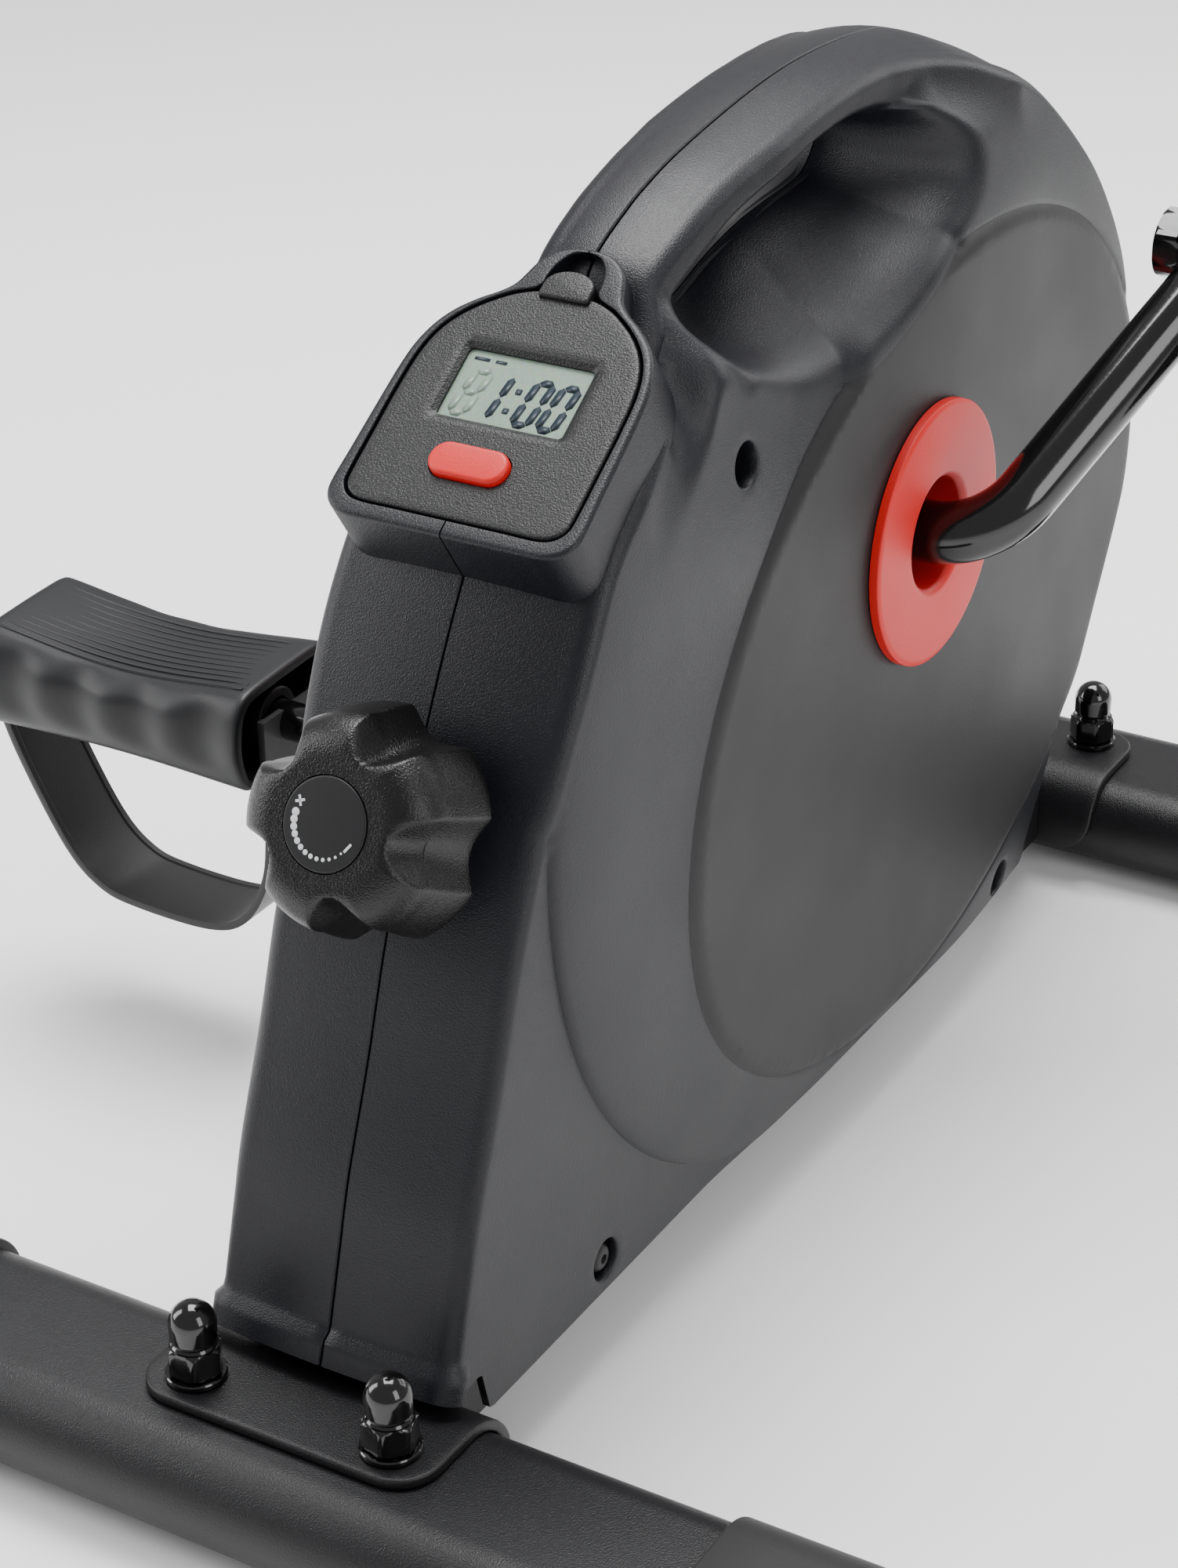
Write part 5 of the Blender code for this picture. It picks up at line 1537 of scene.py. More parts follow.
@dataclass
class ResistanceKnob(Assembly):
    """Five-lobed grip knob with a printed dial."""

    radius: float = 29.6 * MM
    face_radius: float = 16.0 * MM
    lobes: int = 5
    lobe_depth: float = 4.8 * MM
    depth: float = 28.0 * MM
    label_radius: float = 11.5 * MM
    mark_radius: float = 8.6 * MM
    twist: float = math.radians(33)
    flank: float = 0.62
    hollow_width: float = 0.52
    hollow_depth: float = 5.4 * MM
    hollow_end: float = 0.86

    def __post_init__(self) -> None:
        """Find the knob's axis from its joint."""
        turn = joint("knob_turn")
        normal = Vector(turn["axis"])
        if normal.y > 0:
            normal = -normal
        origin = Vector(turn["pos_m"])
        places = [Vector(v.co) for v in frame["nodes"]["resistance_knob"].data.vertices]
        self.front = max((v - origin).dot(normal) for v in places)
        self.matrix = leaning(origin, normal)

    def lobe_radius(self, angle: np.ndarray, share: float) -> np.ndarray:
        """Radius round the knob, at a share of its height from base to face.

        Args:
            angle: angles round the axis.
            share: 0 at the base and 1 at the face's edge.

        Returns:
            Array of radii.
        """
        mean = self.radius - 5.0 * MM * share ** 1.5
        return mean - self.scallop(angle, self.hollow_width) * self.lobe_depth * (1 + 0.5 * share)

    def scallop(self, angle: np.ndarray, width: float) -> np.ndarray:
        """Depth, 0 to 1, of the finger hollows that part the lobes.

        Args:
            angle: angles round the axis.
            width: share of each pitch that the hollow takes.

        Returns:
            Array of depths.
        """
        pitch = 2 * math.pi / self.lobes
        off = (angle - self.twist) % pitch - pitch / 2
        across = np.clip(np.abs(off) / (width * pitch / 2), 0, 1)
        return (1 - across ** 2.2) ** 1.1

    def grip(self) -> bpy.types.Object:
        """The lobed body.

        Returns:
            The finished object.
        """
        count = 336
        a = around(count)
        top = self.front
        base = top - self.depth
        rings: list[np.ndarray] = []

        def ring(radius: np.ndarray, height: np.ndarray | float) -> None:
            """Add one ring."""
            rings.append(circle(a, radius, height))

        skirt = self.lobe_radius(a, 0.0)
        ring(np.full(count, 9.0 * MM), base + 3 * MM)
        ring(skirt * 0.86, base + 2.4 * MM)
        ring(skirt * 0.93, base + 0.6 * MM)
        ring(skirt - 0.9 * MM, base)
        ring(skirt - 0.25 * MM, base + 0.3 * MM)
        for k in range(9):
            t = k / 8
            ring(self.lobe_radius(a, t * self.flank), base + 1.2 * MM + t * 14.8 * MM)
        edge_height = base + 16 * MM
        shoulder = self.lobe_radius(a, self.flank)
        inner = np.full(count, self.face_radius)
        for k in range(1, 15):
            t = k / 14
            angle = math.pi / 2 * t
            radius = shoulder + (inner - shoulder) * (1 - math.cos(angle) ** 0.95)
            crest = edge_height + (top - edge_height) * math.sin(angle) ** 0.92
            over = t / self.hollow_end
            width = self.hollow_width * math.sqrt(max(0.0, 1 - over ** 2))
            deep = self.hollow_depth * math.sin(math.pi * min(1, over)) ** 0.8
            scoop = self.scallop(a, max(width, 0.02)) * deep
            ring(radius, crest - scoop)
        ring(inner - 0.7 * MM, top)
        ring(np.full(count, self.label_radius + 0.35 * MM), top)
        ring(np.full(count, self.label_radius + 0.12 * MM), top - 0.6 * MM)
        return loft("grip_knob", [placed(r, self.matrix) for r in rings], self.shop["knob"], angle=50)

    def label(self) -> bpy.types.Object:
        """Printed disc with plus, minus and a trail of dots.

        Returns:
            The finished object.
        """
        top = self.front
        corners = [(self.label_radius, top - 0.5 * MM), (self.label_radius, top + 0.25 * MM),
                   (self.label_radius - 0.35 * MM, top + 0.45 * MM), (0, top + 0.55 * MM)]
        disc = turned("dial_label", fillet(corners, [0, 0.2 * MM, 0.2 * MM, 0]), self.matrix,
                      self.shop["label"], 96)
        ink = self.shop["ink"]
        dot = turned("dot", [(1.05 * MM, 0), (1.05 * MM, 0.05 * MM), (0.95 * MM, 0.09 * MM), (0, 0.1 * MM)],
                     Matrix.Identity(4), ink, 16)
        lift_up = Matrix.Translation((0, 0, top + 0.47 * MM))
        dots = dial_tree().bake("dial_dots", {
            "Dot": dot, "Finish": ink, "Count": 13, "Arc Radius": 8.3 * MM,
            "Start Angle": math.radians(172), "End Angle": math.radians(318),
            "Last Size": 0.3}, self.matrix @ lift_up, dot)
        bars = []
        for where, turns in ((math.radians(152), (20, 110)), (math.radians(333), (55,))):
            at = Matrix.Translation((self.mark_radius * math.cos(where),
                                     self.mark_radius * math.sin(where), top + 0.44 * MM))
            for degrees in turns:
                spin = Matrix.Rotation(math.radians(degrees), 4, "Z")
                bars.append(slab("bar", rounded(1.35 * MM, 0.32 * MM, 0.12 * MM, steps=2), 0, 0.16 * MM,
                                 self.matrix @ at @ spin, ink, 0.03 * MM, 1))
        for piece in (dots, *bars):
            weld(disc, piece)
        return disc

    def build(self) -> None:
        """Build the knob and its label."""
        self.settle(self.grip(), "knob", "black_plastic", "resistance_knob")
        self.settle(self.label(), "knob", "label", "knob_cap")


# ---------------------------------------------------------------- console


class Digit(Enum):
    """Lit segments of the digits shown, in the order a to g."""

    ZERO = "abcdef"
    ONE = "bc"


@dataclass
class Console(Assembly):
    """Readout case with a liquid crystal display, a push button and a latch tab."""

    depth: float = 6.0 * MM
    wall: float = 0.8 * MM
    edge: tuple[Point2, ...] = ((0, -0.0378), (0.0160, -0.0378), (0.0249, -0.0378), (0.0288, -0.0367),
                                (0.0311, -0.0341), (0.0316, -0.0303), (0.0316, -0.0180), (0.0315, -0.0050),
                                (0.0308, 0.0063), (0.0284, 0.0146), (0.0233, 0.0215), (0.0152, 0.0276),
                                (0.0080, 0.0304), (0, 0.0312))
    window: Point2 = (18.0 * MM, 10.3 * MM)
    window_centre: Point2 = (-0.3 * MM, 0.6 * MM)
    digit_height: float = 12.9 * MM
    digit_width: float = 4.3 * MM
    digit_slant: float = 0.15
    frame_width: float = 1.5 * MM
    button: Point2 = (11.0 * MM, 4.8 * MM)
    latch_half_width: float = 7.2 * MM
    latch_foot: float = 28.3 * MM
    latch_top: float = 36.9 * MM

    def __post_init__(self) -> None:
        """Find the leaning frame of the face."""
        self.matrix = console_frame()
        spot = self.matrix.inverted() @ middle("console_button")
        self.button_centre: Point2 = (spot.x - 1.4 * MM, spot.y)

    def case(self) -> bpy.types.Object:
        """Grained case front with its window frame, button hole and latch tab.

        Returns:
            The finished object.
        """
        outer = resample(ConsolePod.mirrored(self.edge), 0.9 * MM)
        away = outward(outer)
        builder = MeshBuilder()
        rings = [lift(outer, -self.depth)]
        radius = 0.9 * MM
        for a in quarter(4):
            rings.append(lift(outer - away * radius * (1 - math.cos(a)), -radius * (1 - math.sin(a))))
        builder.strips(rings)
        top = outer - away * radius
        opening = [half + self.frame_width for half in self.window]
        frame_loop = resample(rounded(*opening, 1.2 * MM, self.window_centre), 1.2 * MM)
        well = resample(rounded(self.button[0] + 0.35 * MM, self.button[1] + 0.35 * MM, 5.0 * MM,
                                self.button_centre), 0.8 * MM)
        points, faces = fill(top, [frame_loop, well], 2.0 * MM)
        builder.add(lift(points, 0.0), faces)
        window = self.scaled(frame_loop, self.window_centre, self.window)
        sill_half = [half + 1.3 * MM for half in self.window]
        sill = self.scaled(frame_loop, self.window_centre, sill_half)
        builder.strips([lift(frame_loop, 0), lift(sill, -0.12 * MM), lift(window, -0.9 * MM),
                        lift(window, -1.6 * MM)])
        throat = self.shrunk(well, 0.12 * MM)
        builder.strips([lift(well, 0), lift(throat, -0.3 * MM), lift(throat, -3.0 * MM)])
        mesh = builder.mesh("case")
        mesh.transform(self.matrix)
        piece = finish_mesh("readout_case", mesh, self.shop["console"], 32)
        self.close(piece)
        weld(piece, self.latch())
        return piece

    def close(self, piece: bpy.types.Object) -> None:
        """Give the case front a wall, on its inner side.

        Args:
            piece: open skin of the case.
        """
        total = sum(p.normal.dot(self.matrix.to_3x3().col[2]) * p.area for p in piece.data.polygons)
        if total < 0:
            piece.data.flip_normals()
        solidify(piece, self.wall)
        bake(piece)
        shade(piece.data, 32)

    @staticmethod
    def scaled(loop: np.ndarray, centre: Point2, half: Point2) -> np.ndarray:
        """Fit a loop to new half sizes about its centre.

        Args:
            loop: outline.
            centre: fixed point.
            half: new half width and half height.

        Returns:
            The fitted outline.
        """
        c = np.asarray(centre)
        reach = np.abs(loop - c).max(axis=0)
        return c + (loop - c) * (np.asarray(half) / reach)

    @staticmethod
    def shrunk(loop: np.ndarray, by: float) -> np.ndarray:
        """Loop moved inwards."""
        return loop - outward(loop) * by

    def latch(self) -> bpy.types.Object:
        """Half-round finger tab that stands over the top edge of the case.

        Returns:
            The finished object.
        """
        w, foot = self.latch_half_width, self.latch_foot
        a = np.radians(np.linspace(0, 180, 24))
        spring = foot + 3.4 * MM
        dome = np.column_stack([w * np.cos(a), spring + (self.latch_top - spring) * np.sin(a) ** 0.9])
        outline = np.vstack([dome, [(-w, foot + 0.6 * MM), (-w + 0.6 * MM, foot),
                                    (w - 0.6 * MM, foot), (w, foot + 0.6 * MM)]])
        return slab("latch_tab", resample(outline, 0.6 * MM), -4.0 * MM, 1.3 * MM, self.matrix,
                    self.shop["console"], 0.8 * MM, 4, both=False)

    def readout(self) -> bpy.types.Object:
        """Liquid crystal panel with its lit and ghost segments.

        Returns:
            The finished object.
        """
        half = (self.window[0] + 0.6 * MM, self.window[1] + 0.6 * MM)
        panel = slab("readout_panel", rounded(*half, 0.3 * MM, self.window_centre, 3), -3.2 * MM, -1.7 * MM,
                     self.matrix, self.shop["lcd"], 0.1 * MM, 1)
        for segments in (self.segments(True), self.segments(False)):
            weld(panel, segments)
        return panel

    def segments(self, lit: bool) -> bpy.types.Object:
        """All segments that are on, or the ghosts of those that are off.

        Args:
            lit: the dark segments; otherwise the faint ones.

        Returns:
            One mesh object.
        """
        finish = self.shop["segment" if lit else "ghost"]
        height, width, slant = self.digit_height, self.digit_width, self.digit_slant
        builder = MeshBuilder()
        level = -1.62 * MM if lit else -1.66 * MM
        plan = [(-12.6 * MM, ""), (-6.2 * MM, Digit.ONE.value), (5.3 * MM, Digit.ZERO.value),
                (12.5 * MM, Digit.ZERO.value)]
        for x, on in plan:
            for letter in "abcdefg":
                if letter in on if lit else not on:
                    self.stroke(builder, letter, x, -1.2 * MM, width, height, slant, level)
        if lit:
            for y in (-4.4 * MM, 1.6 * MM):
                dot = rounded(0.85 * MM, 0.85 * MM, 0.25 * MM, (-0.2 * MM + slant * y, y - 0.2 * MM), 2)
                builder.fan(lift(dot, level))
            for x, y, half_w in ((-14.0 * MM, 8.6 * MM, 2.2 * MM), (-8.5 * MM, 8.6 * MM, 1.6 * MM)):
                builder.fan(lift(rounded(half_w, 0.45 * MM, 0.2 * MM, (x, y), 2), level))
        mesh = builder.mesh("segments")
        mesh.transform(self.matrix)
        piece = finish_mesh("segments", mesh, finish)
        solidify(piece, 0.04 * MM, 0)
        return bake(piece)

    @staticmethod
    def stroke(builder: MeshBuilder, letter: str, x: float, y: float, width: float, height: float,
               slant: float, level: float) -> None:
        """Add one six-sided segment of a digit.

        Args:
            builder: mesh that takes the segment.
            letter: segment, a to g.
            x: middle of the digit.
            y: middle of the digit.
            width: digit width.
            height: digit height.
            slant: lean of the digit.
            level: height above the face.
        """
        w, h, t, g = width / 2, height / 2, 1.1 * MM, 0.1 * MM
        across = {"a": h, "g": 0.0, "d": -h}
        if letter in across:
            cy = across[letter]
            shape = [(-w + g, cy), (-w + t + g, cy + t), (w - t - g, cy + t), (w - g, cy),
                     (w - t - g, cy - t), (-w + t + g, cy - t)]
        else:
            cx = w if letter in "bc" else -w
            low, high = (g, h - g) if letter in "bf" else (-h + g, -g)
            shape = [(cx, low), (cx - t, low + t), (cx - t, high - t), (cx, high), (cx + t, high - t),
                     (cx + t, low + t)]
        points = np.array([(x + px + slant * py, y + py) for px, py in shape])
        builder.fan(lift(points, level))

    def push_button(self) -> bpy.types.Object:
        """Red push button with rounded ends.

        Returns:
            The finished object.
        """
        outline = resample(rounded(*self.button, 4.7 * MM, self.button_centre, 10), 0.6 * MM)
        return slab("push_button", outline, -3.0 * MM, 2.0 * MM, self.matrix, self.shop["red"],
                    1.2 * MM, 6, both=False)

    def build(self) -> None:
        """Build the console."""
        self.settle(self.case(), "root", "black_plastic", "console_case")
        self.settle(self.readout(), "root", "display", "display_panel")
        self.settle(self.push_button(), "console_button", "red_trim", "console_button")


# ---------------------------------------------------------------- feet


@dataclass
class Feet(Assembly):
    """Stabilizer tubes, rubber end caps, bent brackets and their fasteners."""

    tube_half: Point2 = (30.0 * MM, 15.0 * MM)
    cap_grow: float = 2.6 * MM
    plate: float = 3.0 * MM
    bracket_half: float = 43.5 * MM
    bracket_corner: float = 12.0 * MM
    across_flats: float = 13.0 * MM
    hex_height: float = 8.0 * MM
    dome_radius: float = 6.2 * MM
    nut_height: float = 20.4 * MM
    cap_profile: tuple[Point2, ...] = ((0.0, 2.3), (0.0, 0.5), (0.3, 0.15), (0.9, 0.0), (14, 0), (30, 0),
                                       (44, 0), (50.0, 0.15), (52.4, 0.8), (53.6, 2.2), (54.0, 4.5))

    def tubes(self) -> None:
        """Flat-oval tubes, open inside."""
        for word in ("front", "rear"):
            node = word + "_stabilizer"
            low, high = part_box(node)
            centre = ((low[1] + high[1]) / 2, (low[2] + high[2]) / 2)
            outer = stadium(*self.tube_half, centre, 30)
            inner = stadium(self.tube_half[0] - 2 * MM, self.tube_half[1] - 2 * MM, centre, 30)
            builder = MeshBuilder()
            steps = np.linspace(low[0], high[0], 12)
            rings = [stood(outer, x) for x in steps]
            bore = [stood(inner, x) for x in steps[::-1]]
            builder.strips([*rings, *bore, rings[0]])
            piece = builder.build(word + "_cross_tube", [self.shop["coat"]], 40)
            self.settle(piece, "root", "powder_coat", node)

    def end_caps(self) -> None:
        """Rubber sleeves with a soft rim."""
        for end in ("front", "rear"):
            for side in Side:
                node = f"{end}_{side.word}_end_cap"
                low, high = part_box(node)
                centre = ((low[1] + high[1]) / 2, (low[2] + high[2]) / 2)
                mouth = low[0] if side is Side.RIGHT else high[0]
                half = [reach + self.cap_grow for reach in self.tube_half]
                rings = [stood(stadium(half[0] - shrink * MM, half[1] - shrink * MM, centre, 30),
                               mouth + side.value * along_x * MM)
                         for along_x, shrink in self.cap_profile]
                piece = loft(f"{end}_{side.word}_rubber_cap", rings, self.shop["rubber"], angle=45)
                self.settle(piece, "root", "cap_rubber", node)

    def brackets(self) -> None:
        """Bent plates with rounded corners and a soft punched edge."""
        for word, inward in (("front", 1), ("rear", -1)):
            node = word + "_bracket"
            low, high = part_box(node)
            tube_low, tube_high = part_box(word + "_stabilizer")
            row = (tube_low[1] + tube_high[1]) / 2
            middle_z = (tube_low[2] + tube_high[2]) / 2
            radius = self.tube_half[1] + 0.3 * MM
            bend = row + inward * (self.tube_half[0] - self.tube_half[1])
            lip = low[1] if inward > 0 else high[1]
            top = high[2]
            reach = radius + self.plate
            path = [(y, top) for y in np.linspace(lip, bend, 14)[:-1]]
            path += [(bend + inward * reach * math.cos(a), middle_z + reach * math.sin(a))
                     for a in np.radians(np.linspace(90, -20, 16))]
            self.settle(self.plate_piece(word, np.array(path)), "root", "powder_coat", node)

    def plate_piece(self, word: str, line: np.ndarray) -> bpy.types.Object:
        """Plan outline filled flat, then laid over the bend line.

        Args:
            word: front or rear.
            line: outer bend line in (y, z).

        Returns:
            The bracket with its thickness and soft edges.
        """
        length = run_length(line)
        total = length[-1]
        plan = rounded(self.bracket_half, total / 2, self.bracket_corner, (0, total / 2), 14)
        plan = resample(plan, 1.5 * MM)
        points, faces = fill(plan, [], 2.2 * MM)
        y = np.interp(points[:, 1], length, line[:, 0])
        z = np.interp(points[:, 1], length, line[:, 1])
        mesh = bpy.data.meshes.new(word + "_plate")
        mesh.from_pydata([tuple(v) for v in np.column_stack([points[:, 0], y, z])], [], faces)
        piece = finish_mesh(word + "_bent_bracket", mesh, self.shop["coat"], 40)
        if piece.data.polygons[0].normal.z < 0 and sum(p.normal.z for p in piece.data.polygons) < 0:
            piece.data.flip_normals()
        solidify(piece, self.plate)
        soft = piece.modifiers.new("Edge", "BEVEL")
        soft.width = 0.7 * MM
        soft.segments = 3
        soft.limit_method = "ANGLE"
        soft.angle_limit = math.radians(50)
        bake(piece)
        shade(piece.data, 40)
        return piece

    def nut(self) -> bpy.types.Object:
        """One acorn nut at the origin: chamfered hexagon, neck and dome.

        Returns:
            The finished object.
        """
        corner = self.across_flats / math.sqrt(3)
        a = around(72)
        flats = np.minimum(hexagon(a, self.across_flats / 2), corner * 0.992)
        top = self.hex_height
        centre = self.nut_height - self.dome_radius
        stack = [(4.3 * MM, 0.0)]
        stack += [(np.minimum(flats, limit * MM), z) for limit, z in (
            (6.4, 0.0), (6.9, 0.25 * MM), (math.inf, 0.8 * MM), (math.inf, top - 1.0 * MM),
            (7.0, top - 0.45 * MM), (6.5, top))]
        stack += [(radius * MM, top + rise * MM)
                  for radius, rise in ((6.0, 0.1), (5.5, 0.7), (5.6, 1.4), (6.1, 2.1))]
        stack += [(self.dome_radius * math.cos(turn), centre + self.dome_radius * math.sin(turn))
                  for turn in quarter(13)[:-1]]
        stack.append((0.05 * MM, self.nut_height))
        return loft("nut", [circle(a, radius, z) for radius, z in stack], self.shop["gloss"], angle=30)

    def fasteners(self) -> None:
        """Cap nuts and washers on the bolt pattern."""
        words = [f"{end}_{side.word}" for end in ("front", "rear") for side in Side]
        nut_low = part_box("front_right_cap_nut")[0]
        right, left = middle("front_right_cap_nut"), middle("front_left_cap_nut")
        rear = middle("rear_right_cap_nut")
        tree = grid_tree()
        pattern = {"Bolt Spacing": right.x - left.x, "Row Spacing": rear.y - right.y}
        nut = self.nut()
        nuts = tree.bake("acorn_nuts", {
            "Part": nut, "Finish": self.shop["gloss"], "Twist": 0.9, "Seed": 6, **pattern},
            Matrix.Translation((0, 0, nut_low[2])), nut, 30)
        self.settle(nuts, "root", "gloss_steel", *(w + "_cap_nut" for w in words))
        low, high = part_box("front_right_washer")
        thick = high[2] - low[2]
        profile = [(4.4 * MM, 0), (7.7 * MM, 0), (8 * MM, 0.3 * MM), (8 * MM, thick - 0.35 * MM),
                   (7.7 * MM, thick), (4.4 * MM, thick)]
        washer = turned("washer", profile, Matrix.Identity(4), self.shop["gloss"], 56, closed=True)
        washers = tree.bake("flat_washers", {
            "Part": washer, "Finish": self.shop["gloss"], "Twist": 0.0, "Seed": 1, **pattern},
            Matrix.Translation((0, 0, low[2])), washer)
        self.settle(washers, "root", "gloss_steel", *(w + "_washer" for w in words))

    def build(self) -> None:
        """Build the feet."""
        self.tubes()
        self.end_caps()
        self.brackets()
        self.fasteners()


# ---------------------------------------------------------------- cranks and pedals


@dataclass
class Crank(Assembly):
    """Bent crank rod with its pedal eye, spindle and nut, on one side."""

    side: Side
    rod_radius: float = 9.0 * MM
    bend_x: float = 60.0 * MM
    bend_radius: float = 26.0 * MM
    tip_x: float = 94.0 * MM
    eye_radius: float = 13.5 * MM
    eye_edge: float = 2.4 * MM

    def __post_init__(self) -> None:
        """Read the crank axis and the pedal axis."""
        ring = middle("right_hub_ring")
        pedal = middle(self.side.word + "_pedal_spindle")
        self.axis = np.array((ring.y, ring.z))
        self.pedal = np.array((pedal.y, pedal.z))
        arm = self.pedal - self.axis
        self.throw = float(np.linalg.norm(arm))
        self.reach = arm / self.throw

    def path(self) -> np.ndarray:
        """Middle line of the rod, from the axle to the pedal eye.

        Returns:
            3D points.
        """
        slope = Vector((self.tip_x - self.bend_x, self.throw)).normalized()
        turn = math.acos(slope.x)
        tangent = self.bend_radius * math.tan(turn / 2)
        first = np.array((self.bend_x - tangent, 0.0))
        a = np.linspace(0, turn, 22)
        bend = first + self.bend_radius * np.column_stack([np.sin(a), 1 - np.cos(a)])
        last = np.array((self.tip_x, self.throw - 6 * MM))
        tail = bend[-1] + (last - bend[-1]) * np.linspace(0, 1, 12)[1:, None]
        flat = np.vstack([[(32.5 * MM, 0)], [(self.bend_x - tangent - 1 * MM, 0)], bend, tail])
        return np.array([(self.side.value * x, *(self.axis + self.reach * r)) for x, r in flat])

    def rod(self) -> bpy.types.Object:
        """Rod with the flattened eye.

        Returns:
            The finished object.
        """
        a = around(48)
        section = self.rod_radius * np.column_stack([np.cos(a), np.sin(a)])
        hinge = Vector((0, -self.reach[1], self.reach[0]))
        body = sweep(self.side.word + "_crank_rod", self.path(), section, hinge, self.shop["gloss"])
        half, soft, bore = self.rod_radius, self.eye_edge, 6.3 * MM
        profile = [(bore, -half), (self.eye_radius - soft, -half)]
        profile += [(self.eye_radius - soft * (1 - math.sin(t)), -half + soft * (1 - math.cos(t)))
                    for t in quarter(6)]
        profile += [(self.eye_radius - soft * (1 - math.cos(t)), half - soft * (1 - math.sin(t)))
                    for t in quarter(6)]
        profile.append((bore, half))
        matrix = Matrix.Translation((self.side.value * self.tip_x, *self.pedal)) @ AXIS_X
        eye = turned("eye", profile, matrix, self.shop["gloss"], 64, closed=True)
        weld(body, eye)
        return body

    def spindle(self) -> bpy.types.Object:
        """Turned spindle with its collar and hexagon.

        Returns:
            The finished object.
        """
        low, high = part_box(self.side.word + "_pedal_spindle")
        near, far = self.side.span(low[0], high[0])
        shoulder = self.tip_x + self.rod_radius + 0.3 * MM
        corners = [(0.05 * MM, near), (5.2 * MM, near), (6 * MM, near + 0.8 * MM), (6 * MM, shoulder),
                   (9 * MM, shoulder), (9 * MM, shoulder + 6 * MM), (7.4 * MM, shoulder + 10 * MM),
                   (6 * MM, shoulder + 10.4 * MM), (6 * MM, far - 1 * MM), (0.05 * MM, far)]
        profile = fillet(corners, [0, 0.4 * MM, 0.4 * MM, 0, 0.5 * MM, 0.8 * MM, 0.8 * MM, 0, 0.4 * MM, 0], 3)
        matrix = Matrix.Translation((0, *self.pedal)) @ self.side.turn @ AXIS_X
        return turned(self.side.word + "_spindle", profile, matrix, self.shop["gloss"], 48)

    def lock_nut(self) -> bpy.types.Object:
        """Hexagon nut on the inner side of the eye.

        Returns:
            The finished object.
        """
        low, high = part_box(self.side.word + "_pedal_nut")
        near, far = self.side.span(low[0], high[0])
        half = (high[2] - low[2]) / 2
        a = around(72)
        flat = hexagon(a, half * math.cos(math.pi / 6))
        bore, soft = 6.2 * MM, 0.9 * MM
        chamfer, full = np.minimum(flat, half * 0.88), np.minimum(flat, half * 0.99)
        rings = [circle(a, radius, x) for radius, x in (
            (bore, near), (chamfer, near), (full, near + soft), (full, far - soft), (chamfer, far),
            (bore, far), (bore, near))]
        matrix = Matrix.Translation((0, *self.pedal)) @ self.side.turn @ AXIS_X
        return loft(self.side.word + "_lock_nut", [placed(r, matrix) for r in rings], self.shop["gloss"],
                    False, False, 30)

    def build(self) -> None:
        """Build the crank of this side."""
        word = self.side.word
        self.settle(self.rod(), "crank", "gloss_steel", word + "_crank_arm")
        self.settle(self.spindle(), "crank", "bright_steel", word + "_pedal_spindle")
        self.settle(self.lock_nut(), "crank", "gloss_steel", word + "_pedal_nut")


